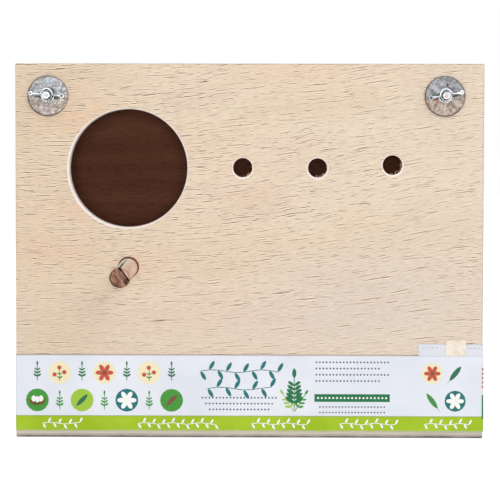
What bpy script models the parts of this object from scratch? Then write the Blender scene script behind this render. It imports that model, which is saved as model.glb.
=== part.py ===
"""A plywood breeding box for lovebirds, made to hang on the wires of a cage.

Metres, +Z up. The front board faces -Y, and the origin is the middle of the floor board's underside.
"""

import math

import bmesh
import bpy
from mathutils import Matrix, Vector

# The box and its boards
BOX_WIDTH = 0.254
BOX_DEPTH = 0.178
BOX_HEIGHT = 0.2032
PLY = 0.009
EDGE_ROUND = 0.0006
LID_RECESS = 0.0007
LID_CLEARANCE = 0.0006

# Gaps between pieces that touch, and how far a cutter runs past what it cuts
SEAT_GAP = 0.0003
DRILL_GAP = 0.00015
CUT_OVERRUN = 0.002

# Holes in the front board, and the finger notch under the lid
ENTRY_DIAMETER = 0.064
ENTRY_INSET = 0.0613
ENTRY_DROP = 0.0566
RIM_ROUND = 0.0009
VENT_DIAMETER = 0.0105
VENT_RIM_ROUND = 0.0005
VENT_PLACE_SHARES = (0.4855, 0.6456, 0.8051)
VENT_RISE_SHARES = (0.03, 0.02, 0.175)
NOTCH_DIAMETER = 0.024
NOTCH_DEPTH = 0.009
NOTCH_PLACE_SHARE = 0.3

# The perch, a rough-cut dowel that lies off centre in a wider hole and droops in it
PERCH_DIAMETER = 0.0098
PERCH_SLACK = 0.0008
PERCH_DROP = 0.0538
PERCH_REACH = 0.062
PERCH_TAIL = 0.012
PERCH_EDGE = 0.0004
PERCH_SLIP_ANGLE = math.radians(-110)
PERCH_DROOP_ANGLE = math.radians(1.8)
CHIP_ANGLE = math.radians(36)
CHIP_DEPTH = 0.0045
CHIP_INSET_SHARE = 0.6

# The nest board that lies on the floor, with its hollow for the eggs
NEST_BOARD_THICKNESS = 0.012
NEST_BOARD_SLACK = 0.0007
HOLLOW_DIAMETER = 0.11
HOLLOW_DEPTH = 0.0085
HOLLOW_PLACE_SHARE = 0.7

# Hanging bolts, their wide washers and wing nuts
BOLT_INSET_LEFT = 0.0178
BOLT_INSET_RIGHT = 0.0213
BOLT_DROP = 0.0176
BOLT_DIAMETER = 0.004
BOLT_LENGTH = 0.020
BOLT_END_CHAMFER = 0.0004
BOLT_HEAD_DIAMETER = 0.008
BOLT_HEAD_HEIGHT = 0.0022
BOLT_SLOT_WIDTH = 0.0011
BOLT_SLOT_DEPTH = 0.0012
WASHER_DIAMETER = 0.022
WASHER_SLACK = 0.0003
WASHER_THICKNESS = 0.0012
WASHER_EDGE = 0.0003
NUT_SPAN = 0.0198
NUT_HEIGHT = 0.0088
NUT_HUB_DIAMETER = 0.0082
NUT_HUB_TOP_DIAMETER = 0.0068
NUT_HUB_HEIGHT = 0.0046
NUT_BORE_GAP = 0.0001
WING_THICKNESS = 0.0016
NUT_TURN_LEFT = math.radians(-4.6)
NUT_TURN_RIGHT = math.radians(10.2)
WING_OUTLINE_SHARES = (
    (0.0, 0.08),
    (0.34, 0.08),
    (0.58, 0.20),
    (0.80, 0.40),
    (0.96, 0.64),
    (1.0, 0.82),
    (0.95, 0.96),
    (0.86, 1.0),
    (0.76, 0.93),
    (0.66, 0.76),
    (0.54, 0.60),
    (0.40, 0.51),
    (0.0, 0.47),
)

# Butt hinges on the back
HINGE_PLACE_SHARES = (0.2, 0.8)
HINGE_LENGTH = 0.030
LEAF_THICKNESS = 0.001
LEAF_MARGIN = 0.001
LEAF_SINK = 0.0001
TAB_INSET = 0.0002
KNUCKLE_DIAMETER = 0.004
KNUCKLE_COUNT = 3
HINGE_PIN_DIAMETER = 0.002
HINGE_PIN_GAP = 0.00008
HINGE_PIN_STICKOUT = 0.0004
SCREW_PLACE_SHARES = (-0.3, 0.3)

# Countersunk hinge screws and thin brads
SCREW_HEAD_DIAMETER = 0.0034
SCREW_HEAD_HEIGHT = 0.0008
SCREW_HEAD_RIM = 0.00015
SCREW_SHANK_DIAMETER = 0.0016
SCREW_LENGTH = 0.0075
SCREW_POINT = 0.0015
SCREW_SLOT_WIDTH = 0.0005
SCREW_SLOT_DEPTH = 0.0003
BRAD_HEAD_DIAMETER = 0.0016
BRAD_HEAD_HEIGHT = 0.0005
BRAD_SHANK_DIAMETER = 0.0011
BRAD_LENGTH = 0.022
BRAD_POINT = 0.0015
BRAD_SINK = 0.0003
WALL_BRAD_SHARES = (0.12, 0.5, 0.88)
FLOOR_SIDE_BRAD_SHARES = (0.16, 0.5, 0.84)
FLOOR_FRONT_BRAD_SHARES = (0.3, 0.7)

# The paper band, wound round the foot of the box, and the bit of tape that holds its end
BAND_FOOT = 0.004
BAND_HEIGHT = 0.0407
BAND_THICKNESS = 0.0003
BAND_TAIL_LENGTH = 0.035
BAND_TAIL_RISE = 0.0066
BAND_STEP_RUN = 0.006
BAND_LAP_LENGTH = 0.062
TAPE_WIDTH = 0.0103
TAPE_HEIGHT = 0.0076
TAPE_THICKNESS = 0.0002
TAPE_INSET = 0.0109

# How finely round things are faceted
ENTRY_SIDES = 72
VENT_SIDES = 24
DOWEL_SIDES = 28
WASHER_SIDES = 40
BOLT_SIDES = 20
PIN_SIDES = 12
BRAD_SIDES = 8
HOLLOW_SIDES = 40
HOLLOW_STEPS = 5
ROUND_STEPS = 2
CORNER_STEPS = 3

# Places worked out from the sizes above
HALF_WIDTH = BOX_WIDTH / 2
FRONT_FACE = -BOX_DEPTH / 2
BACK_FACE = BOX_DEPTH / 2
FRONT_INSIDE = FRONT_FACE + PLY
BACK_INSIDE = BACK_FACE - PLY
WALL_FOOT = PLY + SEAT_GAP
LID_TOP = BOX_HEIGHT - LID_RECESS
LID_UNDER = LID_TOP - PLY
WALL_TOP = LID_UNDER - SEAT_GAP
ENTRY_X = ENTRY_INSET - HALF_WIDTH
ENTRY_Z = BOX_HEIGHT - ENTRY_DROP
PERCH_Z = ENTRY_Z - PERCH_DROP
BOLT_Z = BOX_HEIGHT - BOLT_DROP
KNUCKLE_RADIUS = KNUCKLE_DIAMETER / 2
HINGE_Y = BACK_FACE + SEAT_GAP + KNUCKLE_RADIUS - LEAF_SINK
HINGE_Z = LID_UNDER - SEAT_GAP / 2
LEAF_REACH = PLY - LEAF_MARGIN
SCREW_DROP = (KNUCKLE_RADIUS + LEAF_REACH) / 2
BAND_INNER = SEAT_GAP + BAND_THICKNESS / 2
BAND_OUTER = BAND_INNER + BAND_THICKNESS + SEAT_GAP

OUT_FRONT = Vector((0, -1, 0))
OUT_BACK = Vector((0, 1, 0))
OUT_BELOW = Vector((0, 0, -1))
ACROSS = Vector((1, 0, 0))


def start_scene():
    """Clears the scene and makes the collections for the box and for the cutters."""
    for thing in list(bpy.data.objects):
        bpy.data.objects.remove(thing)
    made = []
    for name in ("nest_box", "cutters"):
        collection = bpy.data.collections.new(name)
        bpy.context.scene.collection.children.link(collection)
        made.append(collection)
    return made


PARTS, CUTTERS = start_scene()


def make_material(name, colour, roughness, metallic=0.0):
    material = bpy.data.materials.new(name)
    material.use_nodes = True
    shader = material.node_tree.nodes["Principled BSDF"]
    shader.inputs["Base Color"].default_value = (*colour, 1)
    shader.inputs["Roughness"].default_value = roughness
    shader.inputs["Metallic"].default_value = metallic
    return material


PALE_PLY = make_material("pale_ply", (0.75, 0.61, 0.46), 0.7)
BROWN_PLY = make_material("brown_ply", (0.36, 0.18, 0.10), 0.75)
DOWEL_WOOD = make_material("dowel_wood", (0.66, 0.47, 0.34), 0.7)
PINE = make_material("pine", (0.70, 0.52, 0.33), 0.75)
ZINC = make_material("zinc", (0.62, 0.63, 0.64), 0.35, 1.0)
WASHER_STEEL = make_material("washer_steel", (0.48, 0.47, 0.46), 0.45, 1.0)
HINGE_STEEL = make_material("hinge_steel", (0.60, 0.59, 0.56), 0.35, 1.0)
BRAD_STEEL = make_material("brad_steel", (0.45, 0.44, 0.42), 0.45, 1.0)
PAPER = make_material("paper", (0.79, 0.81, 0.90), 0.55)
TAPE = make_material("tape", (0.88, 0.76, 0.62), 0.6)


def add_object(name, data, material):
    """Puts an object in the box's collection or, with no material, among the cutters."""
    made = bpy.data.objects.new(name, data)
    if material is None:
        CUTTERS.objects.link(made)
        made.hide_render = True
        made.display_type = "WIRE"
    else:
        PARTS.objects.link(made)
        data.materials.append(material)
    return made


def box(name, low, high, material, rounding=0.0):
    """A board from its low corner to its high corner, with its edges rounded over."""
    low, high = Vector(low), Vector(high)
    bpy.ops.mesh.primitive_cube_add(size=1)
    cube = bpy.context.active_object
    data = cube.data
    bpy.data.objects.remove(cube)
    data.transform(Matrix.Diagonal((high - low).to_4d()))
    made = add_object(name, data, material)
    made.location = (low + high) / 2
    if rounding:
        bevel = made.modifiers.new("rounded_edges", "BEVEL")
        bevel.width = rounding
        bevel.segments = 2
    return made


def turned(name, profile, place, direction, sides, material):
    """A turned piece: its profile of (radius, height) runs down its outer side, and its axis points along direction."""
    data = bpy.data.meshes.new(name)
    on_axis = profile[0][0] == 0
    count = len(profile)
    edges = [(i, (i + 1) % count) for i in range(count - 1 if on_axis else count)]
    data.from_pydata([(radius, 0, height) for radius, height in profile], edges, [])
    made = add_object(name, data, material)
    made.location = place
    made.rotation_euler = Vector((0, 0, 1)).rotation_difference(direction).to_euler()
    screw = made.modifiers.new("turn", "SCREW")
    screw.steps = screw.render_steps = sides
    screw.use_merge_vertices = True
    screw.merge_threshold = 0.00001
    screw.use_smooth_shade = False
    return made


def flat(name, outline, thickness, material):
    """A flat piece from an outline in its own XY plane, as a mesh whose middle plane is z = 0."""
    curve = bpy.data.curves.new(name, "CURVE")
    curve.dimensions = "2D"
    curve.fill_mode = "BOTH"
    curve.extrude = thickness / 2
    spline = curve.splines.new("POLY")
    spline.points.add(len(outline) - 1)
    for point, (x, y) in zip(spline.points, outline):
        point.co = (x, y, 0, 1)
    spline.use_cyclic_u = True
    drawn = bpy.data.objects.new(name + "_outline", curve)
    CUTTERS.objects.link(drawn)
    bpy.context.view_layer.update()
    graph = bpy.context.evaluated_depsgraph_get()
    data = bpy.data.meshes.new_from_object(drawn.evaluated_get(graph))
    bpy.data.objects.remove(drawn)
    shape = bmesh.new()
    shape.from_mesh(data)
    bmesh.ops.remove_doubles(shape, verts=shape.verts, dist=0.00001)
    bmesh.ops.recalc_face_normals(shape, faces=shape.faces)
    shape.to_mesh(data)
    shape.free()
    data.name = name
    return add_object(name, data, material)


def boolean(target, tool, operation="DIFFERENCE"):
    modifier = target.modifiers.new(operation.lower(), "BOOLEAN")
    modifier.operation = operation
    modifier.object = tool
    return target


def carried_by(empty, *pieces):
    """Parents pieces to an empty on their joint's axis, and leaves them where they are."""
    bpy.context.view_layer.update()
    for piece in pieces:
        piece.parent = empty
        piece.matrix_parent_inverse = empty.matrix_world.inverted()


def rounded_bore(radius, rim, near, far):
    """A bore's cutter from height far up to height near, flared at both mouths so that the wood's rims are round."""
    points = [(0, near + CUT_OVERRUN), (radius + rim, near + CUT_OVERRUN)]
    for step in range(ROUND_STEPS + 1):
        angle = math.pi / 2 * (1 + step / ROUND_STEPS)
        points.append((radius + rim + rim * math.cos(angle), near - rim + rim * math.sin(angle)))
    for step in range(ROUND_STEPS + 1):
        angle = math.pi * (1 + step / ROUND_STEPS / 2)
        points.append((radius + rim + rim * math.cos(angle), far + rim + rim * math.sin(angle)))
    return points + [(radius + rim, far - CUT_OVERRUN), (0, far - CUT_OVERRUN)]


def brad_profile(gap=0.0):
    """A brad with its flat head's top at height 0 or, with a gap, the cutter for its hole."""
    head = BRAD_HEAD_DIAMETER / 2 + gap
    shank = BRAD_SHANK_DIAMETER / 2 + gap
    top = BRAD_SINK + CUT_OVERRUN if gap else 0.0
    return [
        (0, top),
        (head, top),
        (head, -BRAD_HEAD_HEIGHT - gap),
        (shank, -BRAD_HEAD_HEIGHT - gap),
        (shank, -(BRAD_LENGTH - BRAD_POINT) - gap),
        (0, -BRAD_LENGTH - gap),
    ]


def screw_profile(gap=0.0):
    """A countersunk screw with its head's top at height 0 or, with a gap, the cutter for its hole."""
    head = SCREW_HEAD_DIAMETER / 2 + gap
    shank = SCREW_SHANK_DIAMETER / 2 + gap
    top = CUT_OVERRUN if gap else 0.0
    return [
        (0, top),
        (head, top),
        (head, -SCREW_HEAD_RIM),
        (shank, -SCREW_HEAD_HEIGHT),
        (shank, -(SCREW_LENGTH - SCREW_POINT) - gap),
        (0, -SCREW_LENGTH - gap),
    ]


def brad(name, place, direction, boards):
    """A brad driven in from place, with its hole in each board that it passes through."""
    head = Vector(place) - direction * BRAD_SINK
    turned(name, brad_profile(), head, direction, BRAD_SIDES, BRAD_STEEL)
    hole = turned(name + "_hole", brad_profile(DRILL_GAP), head, direction, BRAD_SIDES, None)
    for board in boards:
        boolean(board, hole)


def bore(board, name, x, z, profile, sides):
    """A hole through the front board. Its profile's height 0 is the board's face."""
    boolean(board, turned(name, profile, (x, FRONT_FACE, z), OUT_FRONT, sides, None))


def perch_place():
    """The perch's axis, off its hole's centre until the dowel all but touches the hole's wall."""
    slip = PERCH_SLACK - SEAT_GAP
    return (ENTRY_X + slip * math.cos(PERCH_SLIP_ANGLE), PERCH_Z + slip * math.sin(PERCH_SLIP_ANGLE))


def make_front_board():
    low = (-HALF_WIDTH, FRONT_FACE, WALL_FOOT)
    board = box("front_board", low, (HALF_WIDTH, FRONT_INSIDE, BOX_HEIGHT), PALE_PLY, EDGE_ROUND)
    entry = rounded_bore(ENTRY_DIAMETER / 2, RIM_ROUND, 0.0, -PLY)
    bore(board, "entry_bore", ENTRY_X, ENTRY_Z, entry, ENTRY_SIDES)
    vent = rounded_bore(VENT_DIAMETER / 2, VENT_RIM_ROUND, 0.0, -PLY)
    for number, (along, rise) in enumerate(zip(VENT_PLACE_SHARES, VENT_RISE_SHARES), 1):
        x = along * BOX_WIDTH - HALF_WIDTH
        bore(board, f"vent_bore_{number}", x, ENTRY_Z + rise * VENT_DIAMETER, vent, VENT_SIDES)
    perch = rounded_bore(PERCH_DIAMETER / 2 + PERCH_SLACK, VENT_RIM_ROUND, 0.0, -PLY)
    bore(board, "perch_bore", ENTRY_X, PERCH_Z, perch, DOWEL_SIDES)
    return board


def make_back_board():
    low = (-HALF_WIDTH, BACK_INSIDE, WALL_FOOT)
    return box("back_board", low, (HALF_WIDTH, BACK_FACE, WALL_TOP), BROWN_PLY, EDGE_ROUND)


def make_side_board(name, side):
    outer, inner = side * HALF_WIDTH, side * (HALF_WIDTH - PLY)
    low = (min(outer, inner), FRONT_INSIDE + SEAT_GAP, WALL_FOOT)
    high = (max(outer, inner), BACK_INSIDE - SEAT_GAP, WALL_TOP)
    return box(name, low, high, BROWN_PLY, EDGE_ROUND)


def cut_finger_notch(board):
    """A scoop in the right side board's top edge, for a finger under the lid."""
    radius = NOTCH_DIAMETER / 2
    profile = rounded_bore(radius, VENT_RIM_ROUND, 0.0, -PLY)
    place = (HALF_WIDTH, FRONT_FACE + NOTCH_PLACE_SHARE * BOX_DEPTH, WALL_TOP - NOTCH_DEPTH + radius)
    boolean(board, turned("notch_cut", profile, place, ACROSS, DOWEL_SIDES, None))


def make_nest_board():
    """The board on the floor, with a dished hollow at the end away from the entry."""
    side = HALF_WIDTH - PLY - NEST_BOARD_SLACK
    front, back = FRONT_INSIDE + NEST_BOARD_SLACK, BACK_INSIDE - NEST_BOARD_SLACK
    top = WALL_FOOT + NEST_BOARD_THICKNESS
    board = box("nest_board", (-side, front, WALL_FOOT), (side, back, top), PINE, EDGE_ROUND)
    dish_radius = HOLLOW_DIAMETER / 2
    ball = (dish_radius**2 + HOLLOW_DEPTH**2) / (2 * HOLLOW_DEPTH)
    opening = math.asin(dish_radius / ball)
    profile = [(0, CUT_OVERRUN), (dish_radius, CUT_OVERRUN)]
    for step in range(HOLLOW_STEPS + 1):
        angle = opening * (1 - step / HOLLOW_STEPS)
        profile.append((ball * math.sin(angle), ball - HOLLOW_DEPTH - ball * math.cos(angle)))
    place = (HOLLOW_PLACE_SHARE * BOX_WIDTH - HALF_WIDTH, 0, top)
    boolean(board, turned("hollow_cut", profile, place, -OUT_BELOW, HOLLOW_SIDES, None))


def make_perch():
    """The dowel, which droops from the board's face. Its end was sawn and then split, which left a slanting chip."""
    radius = PERCH_DIAMETER / 2
    edge = PERCH_EDGE
    back = -PLY - PERCH_TAIL
    profile = [
        (0, PERCH_REACH),
        (radius - edge, PERCH_REACH),
        (radius, PERCH_REACH - edge),
        (radius, back + edge),
        (radius - edge, back),
        (0, back),
    ]
    x, z = perch_place()
    place = Vector((x, FRONT_FACE, z))
    droop = Matrix.Rotation(PERCH_DROOP_ANGLE, 4, "X")
    out = droop @ OUT_FRONT
    dowel = turned("perch_dowel", profile, place, out, DOWEL_SIDES, DOWEL_WOOD)
    inset = CHIP_INSET_SHARE * radius
    slope = math.atan2(CHIP_DEPTH, radius - inset)
    side = PERCH_DIAMETER
    chip = box("perch_chip_cut", (0, -side, -side), (side, side, side), None)
    chip.data.transform(Matrix.Translation((side / 2, 0, 0)))
    tip = Matrix.Translation(place + out * PERCH_REACH) @ droop
    towards_chip = Matrix.Rotation(-CHIP_ANGLE, 4, "Y")
    slant = Matrix.Rotation(slope - math.pi / 2, 4, "Z")
    chip.matrix_world = tip @ towards_chip @ Matrix.Translation((inset, 0, 0)) @ slant
    boolean(dowel, chip)


def make_bolt(name, x):
    """A slotted mushroom-head bolt, pushed through the front board from inside."""
    radius, head = BOLT_DIAMETER / 2, BOLT_HEAD_DIAMETER / 2
    under_head = -PLY - SEAT_GAP
    end = under_head + BOLT_LENGTH
    ball = (head**2 + BOLT_HEAD_HEIGHT**2) / (2 * BOLT_HEAD_HEIGHT)
    opening = math.asin(head / ball)
    profile = [(0, end), (radius - BOLT_END_CHAMFER, end), (radius, end - BOLT_END_CHAMFER), (radius, under_head)]
    for step in range(ROUND_STEPS):
        angle = opening * (1 - step / ROUND_STEPS)
        dome = ball * math.cos(angle) - ball + BOLT_HEAD_HEIGHT
        profile.append((ball * math.sin(angle), under_head - dome))
    profile.append((0, under_head - BOLT_HEAD_HEIGHT))
    bolt = turned(name, profile, (x, FRONT_FACE, BOLT_Z), OUT_FRONT, BOLT_SIDES, ZINC)
    head_top = FRONT_INSIDE + SEAT_GAP + BOLT_HEAD_HEIGHT
    low = (x - head - CUT_OVERRUN, head_top - BOLT_SLOT_DEPTH, BOLT_Z - BOLT_SLOT_WIDTH / 2)
    high = (x + head + CUT_OVERRUN, head_top + CUT_OVERRUN, BOLT_Z + BOLT_SLOT_WIDTH / 2)
    boolean(bolt, box(name + "_slot", low, high, None))


def make_washer(name, x):
    bore_radius = BOLT_DIAMETER / 2 + WASHER_SLACK
    radius, edge = WASHER_DIAMETER / 2, WASHER_EDGE
    low, high = SEAT_GAP, SEAT_GAP + WASHER_THICKNESS
    profile = [
        (bore_radius, high),
        (radius - edge, high),
        (radius, high - edge),
        (radius, low + edge),
        (radius - edge, low),
        (bore_radius, low),
    ]
    turned(name, profile, (x, FRONT_FACE, BOLT_Z), OUT_FRONT, WASHER_SIDES, WASHER_STEEL)


def make_wing_nut(name, x, turn):
    """A conical hub with two ears. Its own Z axis is the bolt's, pointing out of the box."""
    foot = 2 * SEAT_GAP + WASHER_THICKNESS
    low, high = NUT_HUB_DIAMETER / 2, NUT_HUB_TOP_DIAMETER / 2
    hub_profile = [(0, foot + NUT_HUB_HEIGHT), (high, foot + NUT_HUB_HEIGHT), (low, foot), (0, foot)]
    place = (x, FRONT_FACE, BOLT_Z)
    nut = turned(name, hub_profile, place, OUT_FRONT, BOLT_SIDES, ZINC)
    reach = NUT_SPAN / 2
    right = [(along * reach, foot + up * NUT_HEIGHT) for along, up in WING_OUTLINE_SHARES]
    left = [(-along, up) for along, up in reversed(right[1:-1])]
    wings = flat(name + "_wings", right + left, WING_THICKNESS, None)
    rounding = wings.modifiers.new("rounded_edges", "BEVEL")
    rounding.width = WING_THICKNESS / 4
    rounding.segments = 1
    outwards = Matrix.Rotation(math.pi, 4, "X")
    wings.matrix_world = Matrix.Translation(place) @ Matrix.Rotation(-turn, 4, "Y") @ outwards
    boolean(nut, wings, "UNION")
    bore_radius = BOLT_DIAMETER / 2 + NUT_BORE_GAP
    hole = rounded_bore(bore_radius, BOLT_END_CHAMFER, foot + NUT_HUB_HEIGHT, foot)
    boolean(nut, turned(name + "_bore", hole, place, OUT_FRONT, BOLT_SIDES, None))


def hang_hardware(front_board):
    """A bolt, washer and wing nut near each upper corner of the front board."""
    sides = (
        ("left", BOLT_INSET_LEFT - HALF_WIDTH, NUT_TURN_LEFT),
        ("right", HALF_WIDTH - BOLT_INSET_RIGHT, NUT_TURN_RIGHT),
    )
    for side, x, turn in sides:
        hole = rounded_bore(BOLT_DIAMETER / 2 + SEAT_GAP, DRILL_GAP, 0.0, -PLY)
        bore(front_board, f"{side}_bolt_bore", x, BOLT_Z, hole, BOLT_SIDES)
        make_bolt(f"{side}_hanging_bolt", x)
        make_washer(f"{side}_wide_washer", x)
        make_wing_nut(f"{side}_wing_nut", x, turn)


def leaf_outline(own_knuckles, reach_sign):
    """A leaf's outline in the plane of the back board, notched where the other leaf's knuckles turn."""
    pitch = HINGE_LENGTH / KNUCKLE_COUNT
    half = (HINGE_LENGTH - SEAT_GAP) / 2 - TAB_INSET
    notch = KNUCKLE_RADIUS + SEAT_GAP
    corner = notch + TAB_INSET
    points = [(half, LEAF_REACH), (-half, LEAF_REACH)]
    if 0 not in own_knuckles:
        points.append((-half, corner))
    for number in own_knuckles:
        first = number * pitch - half
        last = first + pitch - SEAT_GAP - 2 * TAB_INSET
        if number > 0:
            points.append((first, notch))
        points += [(first, 0), (last, 0)]
        if number < KNUCKLE_COUNT - 1:
            points.append((last, notch))
    if KNUCKLE_COUNT - 1 not in own_knuckles:
        points.append((half, corner))
    return [(x, reach_sign * z) for x, z in points]


def make_leaf(name, hinge_x, own_knuckles, reach_sign, board):
    """One leaf of a hinge, with its knuckles and the two screws that hold it to its board."""
    leaf = flat(name, leaf_outline(own_knuckles, reach_sign), LEAF_THICKNESS, HINGE_STEEL)
    plate_y = -KNUCKLE_RADIUS + LEAF_SINK + LEAF_THICKNESS / 2
    leaf.data.transform(Matrix.Translation((0, plate_y, 0)) @ Matrix.Rotation(math.pi / 2, 4, "X"))
    leaf.location = (hinge_x, HINGE_Y, HINGE_Z)
    pitch = HINGE_LENGTH / KNUCKLE_COUNT
    for number in own_knuckles:
        half = pitch / 2 - SEAT_GAP / 2
        middle = hinge_x + (number + 0.5) * pitch - HINGE_LENGTH / 2
        barrel = [(0, half), (KNUCKLE_RADIUS, half), (KNUCKLE_RADIUS, -half), (0, -half)]
        place = (middle, HINGE_Y, HINGE_Z)
        knuckle = turned(f"{name}_knuckle_{number + 1}", barrel, place, ACROSS, BOLT_SIDES, None)
        boolean(leaf, knuckle, "UNION")
    hole_radius = HINGE_PIN_DIAMETER / 2 + HINGE_PIN_GAP
    half = HINGE_LENGTH / 2 + CUT_OVERRUN
    hole = [(0, half), (hole_radius, half), (hole_radius, -half), (0, -half)]
    boolean(leaf, turned(name + "_bore", hole, leaf.location, ACROSS, PIN_SIDES, None))
    made = [leaf]
    for number, share in enumerate(SCREW_PLACE_SHARES, 1):
        z = HINGE_Z + reach_sign * SCREW_DROP
        place = Vector((hinge_x + share * HINGE_LENGTH, HINGE_Y + plate_y + LEAF_THICKNESS / 2, z))
        made.append(make_hinge_screw(f"{name}_screw_{number}", place, (leaf, board)))
    return made


def make_hinge_screw(name, place, drilled):
    screw = turned(name, screw_profile(), place, OUT_BACK, PIN_SIDES, HINGE_STEEL)
    hole = turned(name + "_hole", screw_profile(DRILL_GAP), place, OUT_BACK, PIN_SIDES, None)
    for piece in drilled:
        boolean(piece, hole)
    half = Vector((SCREW_HEAD_DIAMETER / 2 + CUT_OVERRUN, CUT_OVERRUN, SCREW_SLOT_WIDTH / 2))
    middle = place + OUT_BACK * (CUT_OVERRUN - SCREW_SLOT_DEPTH)
    return boolean(screw, box(name + "_slot", middle - half, middle + half, None))


def make_hinge(side, hinge_x, back_board, lid):
    """A butt hinge. The fixed leaf holds the outer knuckles and the pin, and the lid's leaf the rest."""
    outer = [number for number in range(KNUCKLE_COUNT) if number % 2 == 0]
    middle = [number for number in range(KNUCKLE_COUNT) if number % 2]
    make_leaf(f"{side}_hinge_fixed_leaf", hinge_x, outer, -1, back_board)
    moving = make_leaf(f"{side}_hinge_lid_leaf", hinge_x, middle, 1, lid)
    radius, half = HINGE_PIN_DIAMETER / 2, HINGE_LENGTH / 2 + HINGE_PIN_STICKOUT
    profile = [
        (0, half),
        (radius - HINGE_PIN_STICKOUT, half),
        (radius, half - HINGE_PIN_STICKOUT),
        (radius, HINGE_PIN_STICKOUT - half),
        (radius - HINGE_PIN_STICKOUT, -half),
        (0, -half),
    ]
    place = (hinge_x, HINGE_Y, HINGE_Z)
    turned(f"{side}_hinge_pin", profile, place, ACROSS, PIN_SIDES, HINGE_STEEL)
    return moving


def make_lid(back_board):
    """The lid, which lies on the side boards behind the front board, and its two hinges."""
    low = (-HALF_WIDTH, FRONT_INSIDE + LID_CLEARANCE, LID_UNDER)
    lid = box("lid", low, (HALF_WIDTH, BACK_FACE, LID_TOP), BROWN_PLY, EDGE_ROUND)
    moving = [lid]
    for side, share in zip(("left", "right"), HINGE_PLACE_SHARES):
        moving += make_hinge(side, share * BOX_WIDTH - HALF_WIDTH, back_board, lid)
    axis = bpy.data.objects.new("lid_hinge_axis", None)
    axis.location = (0, HINGE_Y, HINGE_Z)
    PARTS.objects.link(axis)
    carried_by(axis, *moving)


def drive_brads(front, back, left, right, floor):
    """Brads through the front and back boards into the sides, and up through the floor."""
    for side, board, x in (("left", left, PLY / 2 - HALF_WIDTH), ("right", right, HALF_WIDTH - PLY / 2)):
        for number, share in enumerate(WALL_BRAD_SHARES, 1):
            z = WALL_FOOT + share * (WALL_TOP - WALL_FOOT)
            brad(f"front_brad_{side}_{number}", (x, FRONT_FACE, z), OUT_FRONT, (front, board))
            brad(f"back_brad_{side}_{number}", (x, BACK_FACE, z), OUT_BACK, (back, board))
        for number, share in enumerate(FLOOR_SIDE_BRAD_SHARES, 1):
            y = FRONT_FACE + share * BOX_DEPTH
            brad(f"floor_brad_{side}_{number}", (x, y, 0), OUT_BELOW, (floor, board))
    for side, board, y in (("front", front, FRONT_FACE + PLY / 2), ("back", back, BACK_FACE - PLY / 2)):
        for number, share in enumerate(FLOOR_FRONT_BRAD_SHARES, 1):
            x = share * BOX_WIDTH - HALF_WIDTH
            brad(f"floor_brad_{side}_{number}", (x, y, 0), OUT_BELOW, (floor, board))


def band_corner(x_side, y_side, start_angle, offset):
    """Points round one corner of the box, a quarter turn to the left from start_angle."""
    centre = Vector((x_side * (HALF_WIDTH - EDGE_ROUND), y_side * (BOX_DEPTH / 2 - EDGE_ROUND)))
    radius = EDGE_ROUND + offset
    angles = [start_angle + math.pi / 2 * step / CORNER_STEPS for step in range(CORNER_STEPS + 1)]
    return [centre + radius * Vector((math.cos(angle), math.sin(angle))) for angle in angles]


def band_path():
    """The band's line seen from above. Its tail starts at the front right and lies under its lapped end."""
    tail_x = HALF_WIDTH - BAND_TAIL_LENGTH
    inner = [Vector((tail_x, FRONT_FACE - BAND_INNER))]
    for x_side, y_side, quarter in ((1, -1, -1), (1, 1, 0), (-1, 1, 1), (-1, -1, 2)):
        inner += band_corner(x_side, y_side, quarter * math.pi / 2, BAND_INNER)
    outer = [
        Vector((tail_x - SEAT_GAP - BAND_STEP_RUN, FRONT_FACE - BAND_INNER)),
        Vector((tail_x - SEAT_GAP, FRONT_FACE - BAND_OUTER)),
    ]
    outer += band_corner(1, -1, -math.pi / 2, BAND_OUTER)
    outer.append(Vector((HALF_WIDTH + BAND_OUTER, FRONT_FACE + BAND_LAP_LENGTH)))
    return inner, outer


def make_band():
    """A strip of paper along the path. Its tail starts high and comes level by the front left corner."""
    inner, outer = band_path()
    lengths = [0.0]
    for before, after in zip(inner, inner[1:]):
        lengths.append(lengths[-1] + (after - before).length)
    points = []
    for place, length in zip(inner, lengths):
        rise = BAND_TAIL_RISE * (1 - length / lengths[-1])
        points.append((*place, BAND_FOOT + rise))
    points += [(*place, BAND_FOOT) for place in outer]
    data = bpy.data.meshes.new("paper_band")
    data.from_pydata(points, [(i, i + 1) for i in range(len(points) - 1)], [])
    band = add_object("paper_band", data, PAPER)
    widen = band.modifiers.new("widen", "SCREW")
    widen.angle = 0
    widen.screw_offset = BAND_HEIGHT
    widen.steps = widen.render_steps = 1
    widen.use_smooth_shade = False
    thicken = band.modifiers.new("thicken", "SOLIDIFY")
    thicken.thickness = BAND_THICKNESS
    thicken.offset = 0
    thicken.use_even_offset = True


def make_tape():
    """The bit of tape over the band's tail, just above the band's lapped end."""
    right = HALF_WIDTH - TAPE_INSET
    foot = BAND_FOOT + BAND_HEIGHT + SEAT_GAP
    back = FRONT_FACE - BAND_INNER - BAND_THICKNESS / 2 - SEAT_GAP
    low = (right - TAPE_WIDTH, back - TAPE_THICKNESS, foot)
    box("tape_piece", low, (right, back, foot + TAPE_HEIGHT), TAPE)


def main():
    front = make_front_board()
    back = make_back_board()
    left = make_side_board("left_side_board", -1)
    right = make_side_board("right_side_board", 1)
    cut_finger_notch(right)
    floor = box("floor_board", (-HALF_WIDTH, FRONT_FACE, 0), (HALF_WIDTH, BACK_FACE, PLY), BROWN_PLY, EDGE_ROUND)
    make_nest_board()
    make_perch()
    hang_hardware(front)
    make_lid(back)
    drive_brads(front, back, left, right, floor)
    make_band()
    make_tape()


main()
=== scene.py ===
"""Looks of the lovebird nest box: the wood's finish, the hanging hardware, the perch, the printed
paper band with its tape, the light and the camera. Metres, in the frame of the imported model."""

import math
import random

import bpy
from mathutils import Matrix, Vector, noise


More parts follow.
